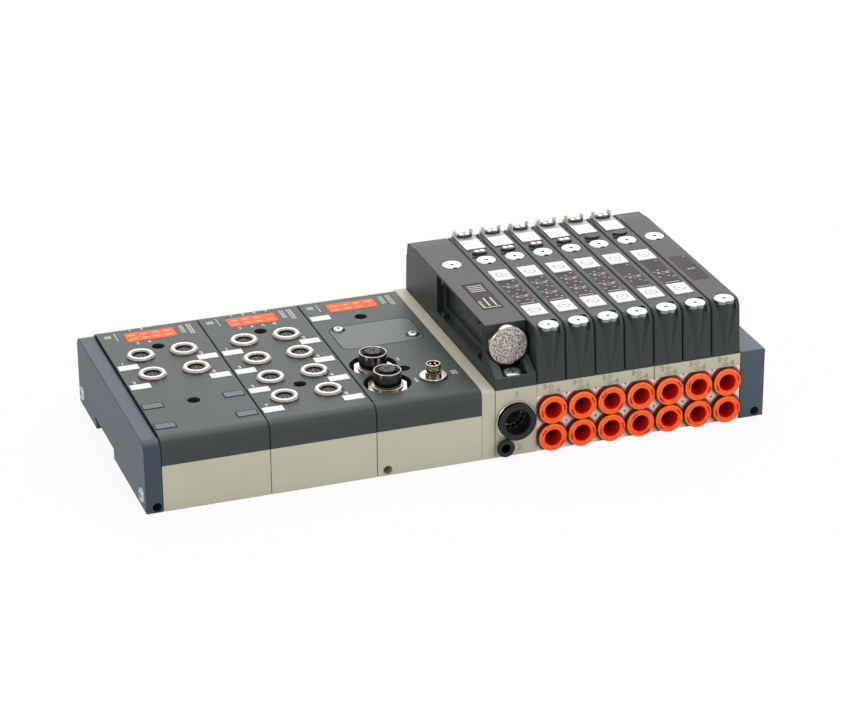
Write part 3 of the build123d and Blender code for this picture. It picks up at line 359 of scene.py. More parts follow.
def solids(node):
    """Lowest and highest corners of the separate solids of a CAD node, front left one first."""
    copy = bmesh.new()
    copy.from_mesh(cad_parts[node].data)
    bmesh.ops.remove_doubles(copy, verts=copy.verts, dist=1e-7)
    left = set(copy.verts)
    boxes = []
    while left:
        group = [left.pop()]
        for vertex in group:
            near = {edge.other_vert(vertex) for edge in vertex.link_edges} & left
            left -= near
            group.extend(near)
        spans = [(min(v.co[i] for v in group), max(v.co[i] for v in group)) for i in range(3)]
        boxes.append((Vector([s[0] for s in spans]), Vector([s[1] for s in spans])))
    copy.free()
    return sorted(boxes, key=lambda box: (round(box[0].x, 4), round(box[0].y, 4)))


def middles(boxes):
    """The middle of each box, at its top."""
    return [Vector(((low.x + high.x) / 2, (low.y + high.y) / 2, high.z)) for low, high in boxes]


class Maker(Nodes):
    """A geometry-nodes tree with named inputs, which makes plain meshes of the sizes asked for."""

    KINDS = {"size": "NodeSocketFloat", "count": "NodeSocketInt", "set": "NodeSocketVector"}

    def __init__(self, name, **asks):
        self.tree = bpy.data.node_groups.new(name, "GeometryNodeTree")
        face = self.tree.interface
        face.new_socket("points", in_out="INPUT", socket_type="NodeSocketGeometry")
        for key, kind in asks.items():
            face.new_socket(key, in_out="INPUT", socket_type=self.KINDS[kind])
        face.new_socket("finish", in_out="INPUT", socket_type="NodeSocketMaterial")
        face.new_socket("made", in_out="OUTPUT", socket_type="NodeSocketGeometry")
        self.inputs = self.tree.nodes.new("NodeGroupInput")

    def ask(self, key):
        return Wire(self, self.inputs.outputs[key])

    def at_points(self, shape, turn=(0.0, 0.0, 0.0), points=None, size=(1.0, 1.0, 1.0)):
        values = {"Points": points or self.ask("points"), "Instance": shape, "Rotation": turn, "Scale": size}
        return self.node("GeometryNodeInstanceOnPoints", values=values)

    def close(self, shape):
        """Ends the tree: real geometry, in the finish asked for."""
        real = self.node("GeometryNodeRealizeInstances", values={"Geometry": shape})
        values = {"Geometry": real, "Material": self.ask("finish")}
        done = self.node("GeometryNodeSetMaterial", values=values)
        self.join(done, self.tree.nodes.new("NodeGroupOutput").inputs["made"])

    def mesh(self, name, spots, finish, **sizes):
        """Runs the tree on a point at each spot and returns the plain mesh that it makes."""
        seed = bpy.data.meshes.new(name + "_spots")
        seed.from_pydata([tuple(spot) for spot in spots], [], [])
        maker = bpy.data.objects.new(name + "_maker", seed)
        bpy.context.scene.collection.objects.link(maker)
        modifier = maker.modifiers.new("maker", "NODES")
        modifier.node_group = self.tree
        sizes["finish"] = finish.material
        for item in self.tree.interface.items_tree:
            if item.name in sizes:
                modifier[item.identifier] = sizes[item.name]
        ready = maker.evaluated_get(bpy.context.evaluated_depsgraph_get())
        made = bpy.data.meshes.new_from_object(ready)
        maker.modifiers.remove(modifier)
        bpy.data.objects.remove(maker)
        bpy.data.meshes.remove(seed)
        return made


dash_rows = Maker("dash_rows", columns="count", rows="count", step_x="size", step_y="size", dash="set")
net = dash_rows.node("GeometryNodeMeshGrid", values={
    "Size X": dash_rows.ask("step_x") * (dash_rows.ask("columns") - 1),
    "Size Y": dash_rows.ask("step_y") * (dash_rows.ask("rows") - 1),
    "Vertices X": dash_rows.ask("columns"),
    "Vertices Y": dash_rows.ask("rows"),
})
dash_shape = dash_rows.node("GeometryNodeMeshCube", values={"Size": dash_rows.ask("dash")})
dash_rows.close(dash_rows.at_points(dash_rows.at_points(dash_shape, points=net)))


def dashes(name, spots, finish, net, steps, dash):
    """Puts a net of dashes on each spot. The steps and a dash's sides are in millimetres."""
    mesh = dash_rows.mesh(
        name, spots, finish, columns=net[0], rows=net[1], step_x=steps[0] * MM, step_y=steps[1] * MM,
        dash=tuple(side * MM for side in dash),
    )
    piece(name, mesh, "island")


window_orange = mottled(
    "window_orange", tone(255, 92, 28), tone(255, 108, 44), 220.0, roughness=0.46, specular_ior_level=0.12,
    subsurface_weight=0.1, subsurface_radius=(0.004, 0.0015, 0.0008),
)
window_orange.relief(window_orange.speckle(1500.0), 0.01 * MM)
dress("indicator_windows", window_orange)

LAMP_DASH = (3.4, 0.85, 0.05)
LAMP_STEPS = (5.6, 4.3)
UNLIT_RISE = 0.01
dash_pale = mottled("dash_pale", tone(196, 160, 138), tone(222, 188, 168), 1800.0, roughness=0.5)
dash_dark = mottled("dash_dark", tone(140, 96, 76), tone(168, 118, 96), 1800.0, roughness=0.5)
windows = middles(solids("indicator_windows"))
dashes("window_dashes", windows, dash_pale, (4, 2), LAMP_STEPS, LAMP_DASH)
unlit = []
for window, side in ((windows[-1], -1), (windows[1], 1)):
    unlit.append(window + Vector((LAMP_STEPS[0] * 1.5, side * LAMP_STEPS[1] / 2, UNLIT_RISE)) * MM)
dashes("unlit_dashes", unlit, dash_dark, (1, 1), (0.0, 0.0), LAMP_DASH)

# ---- Marking tags
# Snap-in plastic tags beside the sockets, written on with a pen when the row is fitted. The
# unused places in front of the first module hold plain tags in the colour of the plates.

USED_DEPTH = 16.0 * MM
TAG_SEAM = 0.34 * MM
tag_white = mottled("tag_white", tone(214, 215, 214), tone(230, 230, 229), 120.0, roughness=0.45)
tag_white.relief(tag_white.speckle(1800.0), 0.01 * MM)
tag_blank = moulded("tag_blank", tone(68, 82, 90), tone(84, 98, 106), 0.4, 0.6, 0.03 * MM)
tags = solids("marking_tags")
first_low, first_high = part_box("input_cover_1")
blank_limit = (first_low.y + first_high.y) / 2 - USED_DEPTH
second_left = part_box("input_cover_2")[0].x


def is_blank(spot):
    """True in the places that the first module leaves unused."""
    return spot.x < second_left and spot.y < blank_limit


dress("marking_tags", tag_white, tag_blank, pick=lambda middle, normal: is_blank(middle))


def stroke(start, end, width):
    """Outline of a straight bar of a drawing."""
    run = Vector((end[0] - start[0], end[1] - start[1]))
    side = Vector((-run.y, run.x)).normalized() * width / 2
    a, b = Vector(start), Vector(end)
    return [tuple(a - side), tuple(b - side), tuple(b + side), tuple(a + side)]


def frame_of(low, high, width):
    """Four bars round a rectangle."""
    x0, y0, x1, y1 = low[0], low[1], high[0], high[1]
    half = width / 2
    return [
        stroke((x0 - half, y0), (x1 + half, y0), width),
        stroke((x0 - half, y1), (x1 + half, y1), width),
        stroke((x0, y0 + half), (x0, y1 - half), width),
        stroke((x1, y0 + half), (x1, y1 - half), width),
    ]


# Painted shade: near-black frames in the gaps round the blank tags.
tag_seams = []
for low, high in tags:
    if is_blank(high):
        tag_seams += frame_of(low, high, TAG_SEAM)
tag_seam_mesh = slabs("tag_seams", tag_seams, cover_top - 0.02 * MM, tags[-1][1].z + 0.01 * MM, painted_shade_black)
piece("tag_seams", tag_seam_mesh, "island")

# ---- Print on the covers
# Plain channel numbers and short dashed fields, pad-printed in a warm grey ink that is a few
# hundredths of a millimetre thick.

ink = mottled("warm_grey_ink", tone(186, 184, 174), tone(222, 220, 208), 2200.0, 3.0, roughness=0.6)


def figure(sign, height, thick):
    """Mesh of one numeral, centred on the origin and facing up."""
    curve = bpy.data.curves.new("figure", "FONT")
    curve.body = sign
    curve.size = height * 1.38
    curve.extrude = thick / 2
    curve.offset = height * 0.02
    curve.align_x = "CENTER"
    curve.align_y = "CENTER"
    curve.resolution_u = 3
    text = bpy.data.objects.new("figure", curve)
    bpy.context.scene.collection.objects.link(text)
    ready = text.evaluated_get(bpy.context.evaluated_depsgraph_get())
    mesh = bpy.data.meshes.new_from_object(ready)
    bpy.data.objects.remove(text)
    bpy.data.curves.remove(curve)
    return mesh


def gathered(name, parts, finish):
    """Joins meshes, each with the matrix that puts it in place, into one mesh."""
    made = bmesh.new()
    for mesh, place in parts:
        mesh.transform(place)
        made.from_mesh(mesh)
        bpy.data.meshes.remove(mesh)
    bmesh.ops.remove_doubles(made, verts=made.verts, dist=1e-7)
    whole = bpy.data.meshes.new(name)
    for face in made.faces:
        face.material_index = 0
    made.to_mesh(whole)
    made.free()
    whole.materials.append(finish.material)
    return whole


INK = 0.04
NUMBER_HEIGHT = 2.6 * MM
NUMBER_SHIFT = Vector((0.4, 0.0, 0.0)) * MM
NUMBER_ROW = 7.6
TAG_NUMBER_SHIFT = Vector((-1.6, 2.3, 0.0)) * MM
MODULE_HALF = 30.0 * MM
CHANNELS = (4, 8)
numbers = []
for window, channels in zip(windows, CHANNELS):
    for channel in range(channels):
        column = channel // 2 - 1.5
        side = 1 if channel % 2 == 0 else -1
        spot = window + NUMBER_SHIFT + Vector((column * LAMP_STEPS[0], side * NUMBER_ROW, 0.0)) * MM
        numbers.append((str(channel + 1), spot))
    near = [box for box in tags if abs((box[0].x + box[1].x) / 2 - window.x) < MODULE_HALF]
    used = [box for box in near if not is_blank(box[1])]
    ranked = sorted(used, key=lambda box: (-round(box[0].y, 4), box[0].x))
    for count, (low, high) in enumerate(ranked[:channels], start=1):
        spot = Vector(((low.x + high.x) / 2, high.y, cover_top)) + TAG_NUMBER_SHIFT
        numbers.append((str(count), spot))
printed = [(figure(sign, NUMBER_HEIGHT, INK * MM), Matrix.Translation(spot)) for sign, spot in numbers]
piece("channel_numbers", gathered("channel_numbers", printed, ink), "island")

# The dashed fields beside each window: place, columns and rows, steps, and sides of a dash.
FIELDS = (
    ((15.6, 1.5, 0.0), (2, 7), (1.15, 1.3), (0.8, 0.75)),
    ((19.4, 0.5, 0.0), (2, 9), (1.3, 1.3), (0.9, 0.75)),
    ((-15.9, 2.4, 0.0), (1, 7), (1.0, 1.25), (0.55, 0.8)),
    ((-19.6, 3.4, 0.0), (4, 4), (0.82, 0.82), (0.6, 0.6)),
)
for number, (shift, net, steps, dash) in enumerate(FIELDS, start=1):
    spots = [Vector((window.x, window.y, cover_top)) + Vector(shift) * MM for window in windows]
    dashes(f"print_field_{number}", spots, ink, net, steps, (*dash, INK))

# ---- Sensor sockets
# Turned brass shells, nickel-plated and pressed through the covers on to the board. A moulded
# carrier fills the foot of each, and its crown has a hole for each pin of the sensor's plug.

nickel = metal("nickel_plate", tone(170, 162, 153), tone(202, 194, 185), 0.14, 0.28, 0.006 * MM)
dress("m8_sockets", nickel)
carrier_plastic = moulded("carrier_plastic", tone(26, 31, 44), tone(48, 54, 70), 0.3, 0.5, 0.02 * MM)
crown_black = mottled(
    "crown_black", tone(10, 11, 12), tone(24, 25, 27), 900.0, roughness=0.5, specular_ior_level=0.2
)
bus_low, bus_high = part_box("bus_cover")
dress("contact_carriers", carrier_plastic, crown_black, pick=lambda middle, normal: (
    bus_low.x < middle.x < bus_high.x
))

RING_STEPS = 28


def around(x, y, radius, angles):
    """Points at one distance from a middle, one at each angle."""
    return [(x + radius * math.cos(angle), y + radius * math.sin(angle)) for angle in angles]


def disc(x, y, radius):
    """Outline of a small round."""
    return around(x, y, radius, [math.tau * i / 14 for i in range(14)])


def turned(name, profile, steps=RING_STEPS):
    """Mesh of a closed outline, given as pairs of radius and height, spun about the Z axis."""
    angles = [math.tau * i / steps for i in range(steps)]
    rings = []
    for radius, height in profile:
        rings.append([(x, y, height) for x, y in around(0, 0, radius, angles)])
    return hoop(name, rings)


def profile_in_mm(*pairs):
    """An outline of radius and height, written in millimetres."""
    return [(radius * MM, height * MM) for radius, height in pairs]


blue_black = mottled(
    "blue_black", tone(40, 46, 64), tone(66, 73, 94), 900.0, roughness=0.45, specular_ior_level=0.3
)
M8_CROWN = profile_in_mm((0.2, -2.6), (2.85, -2.6), (2.85, -1.35), (2.65, -1.15), (0.2, -1.15))
M8_PINS = [math.radians(45 + 90 * i) for i in range(4)]
m8_mouths = middles(solids("m8_sockets"))
m8_crowns = [(turned("crown", M8_CROWN), Matrix.Translation(mouth)) for mouth in m8_mouths]
piece("m8_crowns", gathered("m8_crowns", m8_crowns, blue_black), "island")
# Painted shade: a thin near-black disc stands for each pin hole in the crown.
m8_holes = []
for mouth in m8_mouths:
    m8_holes += [disc(x, y, 0.5 * MM) for x, y in around(mouth.x, mouth.y, 1.5 * MM, M8_PINS)]
m8_rim = m8_mouths[0].z
m8_hole_mesh = slabs("m8_holes", m8_holes, m8_rim - 1.3 * MM, m8_rim - 1.12 * MM, painted_shade_black)
piece("m8_holes", m8_hole_mesh, "island")

# ---- Bus sockets
# Two larger shells of the same plated brass, threaded inside the mouth. A shoulder and a thin
# hexagon nut hold each in the cover, and a black crown with five contacts stands in it.

nickel_shade = metal("nickel_in_shade", tone(84, 78, 72), tone(140, 131, 120), 0.12, 0.24, 0.006 * MM)


def upright_shade(mesh, steep, level):
    """Gives the upright walls of a plated mesh the darker of two finishes."""
    mesh.materials.clear()
    for finish in (level, steep):
        mesh.materials.append(finish.material)
    for face in mesh.polygons:
        face.material_index = int(abs(face.normal.z) < 0.3)


def nut(inradius, hole, low, high, lean):
    """Mesh of a hexagon nut with the corners of its upper face turned down."""
    steps = 30
    turned_down = 0.45 * MM
    flat_r = inradius * 1.13
    angles = [math.tau * i / steps for i in range(steps)]
    sixth = math.pi / 3
    hexagon = [inradius / math.cos((angle + sixth / 2) % sixth - sixth / 2) for angle in angles]
    blunted = [min(wide, flat_r) for wide in hexagon]
    bore = [hole] * steps
    walls = ((low, hexagon), (high - turned_down, hexagon), (high, blunted), (high, bore), (low, bore))
    rings = []
    for height, wall in walls:
        spun = [(r * math.cos(angle + lean), r * math.sin(angle + lean)) for r, angle in zip(wall, angles)]
        rings.append([(x, y, height) for x, y in spun])
    return hoop("nut", rings)


m12_boxes = solids("m12_sockets")
m12_low = m12_boxes[0][0].z / MM
m12_top = m12_boxes[0][1].z / MM
NUT_FOOT = m12_top - 12.0
NUT_TOP = m12_top - 7.8
NUT_INRADIUS = 8.6 * MM
NUT_HOLE = 6.35 * MM
NUT_LEAN = math.radians(-17)
MOUTH_FLOOR = m12_top - 8.0
SHELL = profile_in_mm(
    (4.2, m12_low), (6.4, m12_low), (6.4, m12_top - 0.25), (6.2, m12_top), (5.95, m12_top),
    (5.8, m12_top - 0.2), (5.8, MOUTH_FLOOR), (4.2, MOUTH_FLOOR),
)
SHOULDER = profile_in_mm(
    (6.3, NUT_TOP - 0.2), (7.2, NUT_TOP - 0.2), (7.2, NUT_TOP + 0.6), (6.7, NUT_TOP + 0.8),
    (6.7, NUT_TOP + 1.3), (6.3, NUT_TOP + 1.4),
)
m12_spots = [Vector(((low.x + high.x) / 2, (low.y + high.y) / 2, 0)) for low, high in m12_boxes]
shell_parts = []
nut_parts = []
for spot in m12_spots:
    stand = Matrix.Translation(spot)
    shell_parts.append((turned("shell", SHELL), stand))
    shell_parts.append((turned("shoulder", SHOULDER), stand))
    nut_parts.append((nut(NUT_INRADIUS, NUT_HOLE, NUT_FOOT * MM, NUT_TOP * MM, NUT_LEAN), stand))
shell_mesh = gathered("m12_shells", shell_parts, nickel)
upright_shade(shell_mesh, nickel_shade, nickel)
m12_shells = piece("m12_shells", shell_mesh, "island")
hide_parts("m12_sockets")
piece("m12_nuts", gathered("m12_nuts", nut_parts, nickel), "island")

helix = Maker("thread_helix", radius="size", pitch="size", turns="size", ridge="size", sides="count")
coil = helix.node("GeometryNodeCurveSpiral", values={
    "Resolution": 28,
    "Rotations": helix.ask("turns"),
    "Start Radius": helix.ask("radius"),
    "End Radius": helix.ask("radius"),
    "Height": helix.ask("turns") * helix.ask("pitch"),
})
ridge_outline = helix.node("GeometryNodeCurvePrimitiveCircle", values={
    "Resolution": helix.ask("sides"),
    "Radius": helix.ask("ridge"),
})
ridge_solid = helix.node("GeometryNodeCurveToMesh", values={
    "Curve": coil,
    "Profile Curve": ridge_outline,
    "Fill Caps": True,
})
helix.close(helix.at_points(ridge_solid))

M12_THREAD = {"radius": 5.78 * MM, "pitch": 1.0 * MM, "turns": 6.0, "ridge": 0.15 * MM, "sides": 6}
thread_starts = [spot + Vector((0, 0, (m12_top - 6.8) * MM)) for spot in m12_spots]
piece("m12_threads", helix.mesh("m12_threads", thread_starts, nickel, **M12_THREAD), "island")

rim_grey = moulded("rim_grey", tone(112, 114, 118), tone(150, 152, 156), 0.3, 0.5, 0.02 * MM)
CROWN = profile_in_mm(
    (0.2, m12_top - 0.6), (3.95, m12_top - 0.6), (3.95, m12_top + 0.35), (3.75, m12_top + 0.6),
    (0.2, m12_top + 0.6),
)
RIM = profile_in_mm(
    (0.62, m12_top + 0.58), (0.92, m12_top + 0.58), (0.86, m12_top + 0.74), (0.66, m12_top + 0.74)
)
CONTACT_RING = 2.5 * MM
CONTACT_R = 0.6 * MM
CONTACTS = [math.radians(90 + 72 * i) for i in range(5)]
crowns = [(turned("crown", CROWN), Matrix.Translation(spot)) for spot in m12_spots]
rims = []
contact_holes = []
for spot in m12_spots:
    for x, y in around(spot.x, spot.y, CONTACT_RING, CONTACTS):
        rims.append((turned("rim", RIM), Matrix.Translation((x, y, 0))))
        contact_holes.append(disc(x, y, CONTACT_R))
piece("m12_crowns", gathered("m12_crowns", crowns, crown_black), "island")
piece("m12_rims", gathered("m12_rims", rims, rim_grey), "island")
# Painted shade: a thin near-black disc stands for each contact hole in the crown.
hole_mesh = slabs("m12_holes", contact_holes, (m12_top + 0.5) * MM, (m12_top + 0.62) * MM, painted_shade_black)
piece("m12_holes", hole_mesh, "island")

# ---- Power plug
# A male connector: a turned shell with a flange, in nickel-plated brass, round four gold-plated
# pins that stand in a black carrier. Short dashed words are printed by it and the bus sockets.

plug_low, plug_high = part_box("power_plug")
plug_spot = Vector(((plug_low.x + plug_high.x) / 2, (plug_low.y + plug_high.y) / 2, 0))
plug_foot = plug_low.z / MM
plug_top = plug_high.z / MM
flange = cover_top / MM
PLUG = profile_in_mm(
    (2.75, plug_foot), (3.9, plug_foot), (3.9, flange + 0.01), (6.5, flange + 0.01), (6.5, flange + 0.6),
    (6.1, flange + 0.95), (3.75, flange + 0.95), (3.75, flange + 2.5), (3.15, flange + 2.7),
    (3.15, flange + 3.1), (3.4, flange + 3.3), (3.4, plug_top - 0.2), (3.2, plug_top), (2.9, plug_top),
    (2.75, plug_top - 0.2),
)
plug_mesh = gathered("plug_shell", [(turned("plug", PLUG), Matrix.Translation(plug_spot))], nickel)
upright_shade(plug_mesh, nickel_shade, nickel)
plug_shell = piece("plug_shell", plug_mesh, "island")
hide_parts("power_plug")

gold = metal("gold_plate", tone(214, 160, 70), tone(244, 196, 104), 0.16, 0.3, 0.01 * MM)
pins = [disc(x, y, 0.5 * MM) for x, y in around(plug_spot.x, plug_spot.y, 1.6 * MM, M8_PINS)]
piece("plug_pins", slabs("plug_pins", pins, plug_low.z, (plug_top - 0.6) * MM, gold), "island")

PLUG_THREAD = {"radius": 3.38 * MM, "pitch": 0.7 * MM, "turns": 3.0, "ridge": 0.12 * MM, "sides": 6}
thread_start = [plug_spot + Vector((0, 0, (plug_top - 2.6) * MM))]
piece("plug_thread", helix.mesh("plug_thread", thread_start, nickel, **PLUG_THREAD), "island")

WORDS = (
    ("plug_words", plug_spot, (10.4, 1.4), (2, 4)),
    ("bus_words", m12_spots[-1], (12.6, 2.0), (1, 3)),
    ("bus_words_front", m12_spots[0], (13.0, -1.6), (1, 4)),
)
for name, middle, shift, net in WORDS:
    spot = Vector((middle.x + shift[0] * MM, middle.y + shift[1] * MM, cover_top))
    dashes(name, [spot], ink, net, (1.5, 1.1), (1.1, 0.65, INK))

# ---- Cartridges of the valve places
# Each port is a cartridge pushed into the base: a pale plate over a dark red sleeve, which
# stands out of it and has a near-black ring under its lip. Red light from the sleeve is painted
# on the plate round each root.

collars = sorted(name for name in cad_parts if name.startswith("collar_"))
port_axes = [sum(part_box(name), Vector()) / 2 for name in collars]
base_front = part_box("valve_base_4")[0].y
GLOW_R = 7.3 * MM
GLOW_FADE = 1.25 * MM
SLEEVE_R = 6.35 * MM
SLEEVE_FACE = 0.19 * MM
BORE_R = 5.5 * MM
BORE_DEPTH = 14.5 * MM

cartridge_white = Finish(
    "cartridge_white", roughness=0.36, subsurface_weight=0.1, subsurface_radius=(0.003, 0.001, 0.001)
)
cartridge_cloud = cartridge_white.speckle(90.0)
cartridge_white.relief(cartridge_white.speckle(1500.0), 0.01 * MM)
step_x = port_axes[2].x - port_axes[0].x
step_z = port_axes[1].z - port_axes[0].z
along_row = cartridge_white.along("X") - (port_axes[0].x - step_x / 2)
from_axis = cartridge_white.maths("MODULO", along_row, step_x) - step_x / 2
above_middle = cartridge_white.along("Z") - (port_axes[0].z + step_z / 2)
from_row = cartridge_white.maths("ABSOLUTE", above_middle) - step_z / 2
spread = cartridge_white.maths("SQRT", from_axis * from_axis + from_row * from_row)
# Painted light: the plate turns dark red in a ring round each port's axis, for the sleeve's red light on it.
sleeve_glow = cartridge_white.maths("MAXIMUM", 1.0 - (spread - GLOW_R) * (1 / GLOW_FADE), 0.0)
sleeve_glow = cartridge_white.maths("MINIMUM", sleeve_glow, 1.0)
pale = cartridge_white.blend(cartridge_cloud, tone(236, 226, 220), tone(248, 241, 235))
cartridge_white.colour(cartridge_white.blend(sleeve_glow, pale, tone(132, 14, 16)))
sleeve_red = mottled(
    "sleeve_red", tone(140, 8, 14), tone(178, 16, 22), 300.0, roughness=0.3, coat_weight=0.3
)
shaded_red = mottled("shaded_red", tone(112, 12, 8), tone(150, 20, 12), 300.0, roughness=0.55)


def cartridge_part(middle, normal):
    """0 the plate and barrel, 1 the sleeve, 2 the bore behind the collar."""
    reach = min(math.hypot(middle.x - axis.x, middle.z - axis.z) for axis in port_axes)
    if middle.y < base_front + SLEEVE_FACE and reach < SLEEVE_R:
        return 1
    return 2 if reach < BORE_R and middle.y < base_front + BORE_DEPTH else 0


dress("cartridges", cartridge_white, sleeve_red, shaded_red, pick=cartridge_part)

FLARE = profile_in_mm((6.25, -0.25), (6.74, -0.25), (6.7, 0.32), (6.25, 0.32))
SEAL = profile_in_mm((6.25, 0.3), (6.68, 0.3), (6.68, 0.72), (6.25, 0.72))
# Near-black: the ring under each sleeve's lip, and painted shade in the gaps at the plates' corners.
black_ring_and_gap_shade = mottled("black_ring_and_gap_shade", tone(14, 12, 12), tone(30, 26, 26), 700.0, roughness=0.6)
face_turn = Matrix.Rotation(math.pi / 2, 4, "X")
mouths = [Matrix.Translation((axis.x, base_front, axis.z)) @ face_turn for axis in port_axes]
flares = gathered("sleeve_flares", [(turned("flare", FLARE), mouth) for mouth in mouths], sleeve_red)
piece("sleeve_flares", flares, "island")
seals = gathered("sleeve_seals", [(turned("seal", SEAL), mouth) for mouth in mouths], black_ring_and_gap_shade)
piece("sleeve_seals", seals, "island")

# Where four plates meet, a small near-black square is painted shade in the gap between their corners.
GAP_HALF = 0.36 * MM
tiles = solids("cartridges")
tile_front = -tiles[0][0].y
gaps_x = sorted({round(high.x, 4) for low, high in tiles})[:-1]
gaps_z = sorted({round(high.z, 4) for low, high in tiles})
gaps = [oblong(x - GAP_HALF, z - GAP_HALF, x + GAP_HALF, z + GAP_HALF) for x in gaps_x for z in gaps_z]
gap_mesh = slabs("tile_joints", gaps, tile_front + 0.02 * MM, tile_front + 0.05 * MM, black_ring_and_gap_shade)
gap_mesh.transform(face_turn)
piece("tile_joints", gap_mesh, "island")

# ---- Release collars
# Orange acetal collars that are pressed in to free the tube. Two grip marks are sunk into the
# face of each, and it stops at whatever angle it was fitted. The skirt behind the flange is painted
# near-black and the bore a deeper red, as shade; the side of the rim is a brighter orange, a painted
# highlight.

collar_orange = Finish(
    "collar_orange", specular_ior_level=0.3, subsurface_weight=0.25, subsurface_radius=(0.004, 0.0012, 0.0004)
)
collar_cloud = collar_orange.speckle(160.0, 3.0)
collar_orange.colour(collar_orange.blend(collar_cloud, tone(255, 88, 22), tone(255, 104, 40)))
collar_orange.rough(collar_orange.speckle(1200.0) * 0.16 + 0.28)
collar_orange.relief(collar_orange.speckle(900.0), 0.01 * MM)
# Painted shade on the collar's skirt and bore, and a painted highlight on the side of its rim:
skirt_painted_shade = mottled("skirt_painted_shade", tone(22, 10, 10), tone(40, 16, 14), 400.0, roughness=0.5)
bore_painted_shade = mottled(
    "bore_painted_shade", tone(206, 26, 6), tone(236, 42, 12), 500.0, roughness=0.4, specular_ior_level=0.3
)
rim_painted_highlight = mottled(
    "rim_painted_highlight", tone(255, 118, 20), tone(255, 136, 36), 300.0, roughness=0.3, specular_ior_level=0.4
)
grip_red = mottled(
    "grip_red", tone(206, 8, 6), tone(236, 18, 12), 900.0, roughness=0.5, specular_ior_level=0.1
)

grips = Maker("grip_marks", radius="size", sweep="size", width="size", depth="size", turn="size")
grip_arc = grips.node("GeometryNodeCurveArc", {"mode": "RADIUS"}, {
    "Resolution": 9,
    "Radius": grips.ask("radius"),
    "Start Angle": grips.ask("turn") - grips.ask("sweep") * 0.5,
    "Sweep Angle": grips.ask("sweep"),
})
grip_section = grips.node("GeometryNodeCurvePrimitiveQuadrilateral", values={
    "Width": grips.ask("width"),
    "Height": grips.ask("depth"),
})
grip_bar = grips.node("GeometryNodeCurveToMesh", values={
    "Curve": grip_arc,
    "Profile Curve": grip_section,
    "Fill Caps": True,
})
half_turn = grips.node("GeometryNodeTransform", values={"Geometry": grip_bar, "Rotation": (0, 0, math.pi)})
grip_pair = grips.node("GeometryNodeJoinGeometry")
for bar in (grip_bar, half_turn):
    grips.join(bar, grip_pair.socket.node.inputs["Geometry"])
grips.close(grips.at_points(grip_pair, turn=(math.pi / 2, 0.0, 0.0)))

PLACES = 7
BORE_WALL = 4.1 * MM
RIM_WALL = 6.2 * MM
SKIRT_WALL = 4.6 * MM
FLANGE_BACK = 1.25 * MM


def collar_parts(low, axis):
    """Tells a collar's faces apart: 0 its face, 1 skirt and 2 bore in painted shade, 3 rim in painted
    highlight.
    """
    def pick(middle, normal):
        reach = math.hypot(middle.x - axis.x, middle.z - axis.z)
        if abs(normal.y) < 0.5 and reach < BORE_WALL:
            return 2
        if abs(normal.y) < 0.8 and reach > RIM_WALL:
            return 3
        return int(middle.y > low.y + FLANGE_BACK and reach > SKIRT_WALL)
    return pick


GRIP = {"radius": 5.45 * MM, "sweep": math.radians(34), "width": 0.75 * MM, "depth": 0.06 * MM}
GRIP_TURNS = {"upper": (190, 205, 320, 196, 35, 160, 200), "lower": (325, 190, 188, 305, 215, 20, 190)}
for place in range(PLACES):
    for row, turns in GRIP_TURNS.items():
        name = f"collar_{place + 1}_{row}"
        low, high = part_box(name)
        axis = (low + high) / 2
        dress(name, collar_orange, skirt_painted_shade, bore_painted_shade, rim_painted_highlight, pick=collar_parts(low, axis))
        face = [Vector((axis.x, low.y, axis.z))]
        marks = grips.mesh("grip", face, grip_red, turn=math.radians(turns[place]), **GRIP)
        piece(f"grip_marks_{place + 1}_{row}", marks, name)

# ---- Supply and pilot fittings
# Turned bushes, nickel-plated, with black collars. Inside the supply collar a ring of
# spring-steel teeth, whose tips catch the light, holds the tube.

black_plastic = moulded(
    "black_plastic", tone(12, 13, 14), tone(28, 29, 31), 0.3, 0.5, 0.03 * MM, specular_ior_level=0.3
)
dress("supply_collar", black_plastic)
dress("pilot_collar", black_plastic)
supply_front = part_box("supply_base")[0].y
dress("supply_fittings", nickel, nickel_shade, pick=lambda middle, normal: (
    middle.y > supply_front + 0.4 * MM
))
supply_low, supply_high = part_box("supply_collar")
supply_axis = (supply_low + supply_high) / 2

teeth = Maker("grab_teeth", radius="size", count="count", tooth="set")
tooth_ring = teeth.node("GeometryNodeMeshCircle", values={
    "Vertices": teeth.ask("count"),
    "Radius": teeth.ask("radius"),
})
outward = teeth.node("GeometryNodeInputPosition")
tooth_turn = teeth.node("FunctionNodeAlignRotationToVector", {"axis": "X"}, {"Vector": outward})
tooth_shape = teeth.node("GeometryNodeMeshCube", values={"Size": teeth.ask("tooth")})
tooth_set = teeth.at_points(tooth_shape, turn=tooth_turn, points=tooth_ring)
teeth.close(teeth.at_points(tooth_set, turn=(math.pi / 2, 0.0, 0.0)))
spring_steel = metal("spring_steel", tone(206, 204, 200), tone(236, 234, 230), 0.14, 0.3, 0.01 * MM)
tooth_spot = [Vector((supply_axis.x, supply_high.y + 1.1 * MM, supply_axis.z))]
tooth_mesh = teeth.mesh(
    "grab_teeth", tooth_spot, spring_steel, radius=6.3 * MM, count=16, tooth=(3.2 * MM, 1.2 * MM, 0.3 * MM)
)
piece("grab_teeth", tooth_mesh, "island")

# ---- Port figures
# Raised figures moulded in the cream face over each pair of ports, with a small ring beside
# each, the supply port's figure over it, and a plain cross by the pilot port.

figure_cream = moulded("figure_cream", tone(148, 141, 121), tone(172, 165, 145), 0.4, 0.6, 0.03 * MM)
RAISED = 0.36 * MM
SUNK = 0.05 * MM
RING_MARK = [(1.05 * MM, 0), (1.05 * MM, RAISED * 0.6), (0.7 * MM, RAISED * 0.6), (0.7 * MM, 0)]
DASH_HALF = 0.35
tile_top = max(high.z for low, high in tiles)
figure_y = base_front - RAISED / 2 + 0.06 * MM


def on_face(x, y, z):
    """Stands a drawing up against the front of the bases."""
    return Matrix.Translation((x, y, z)) @ face_turn


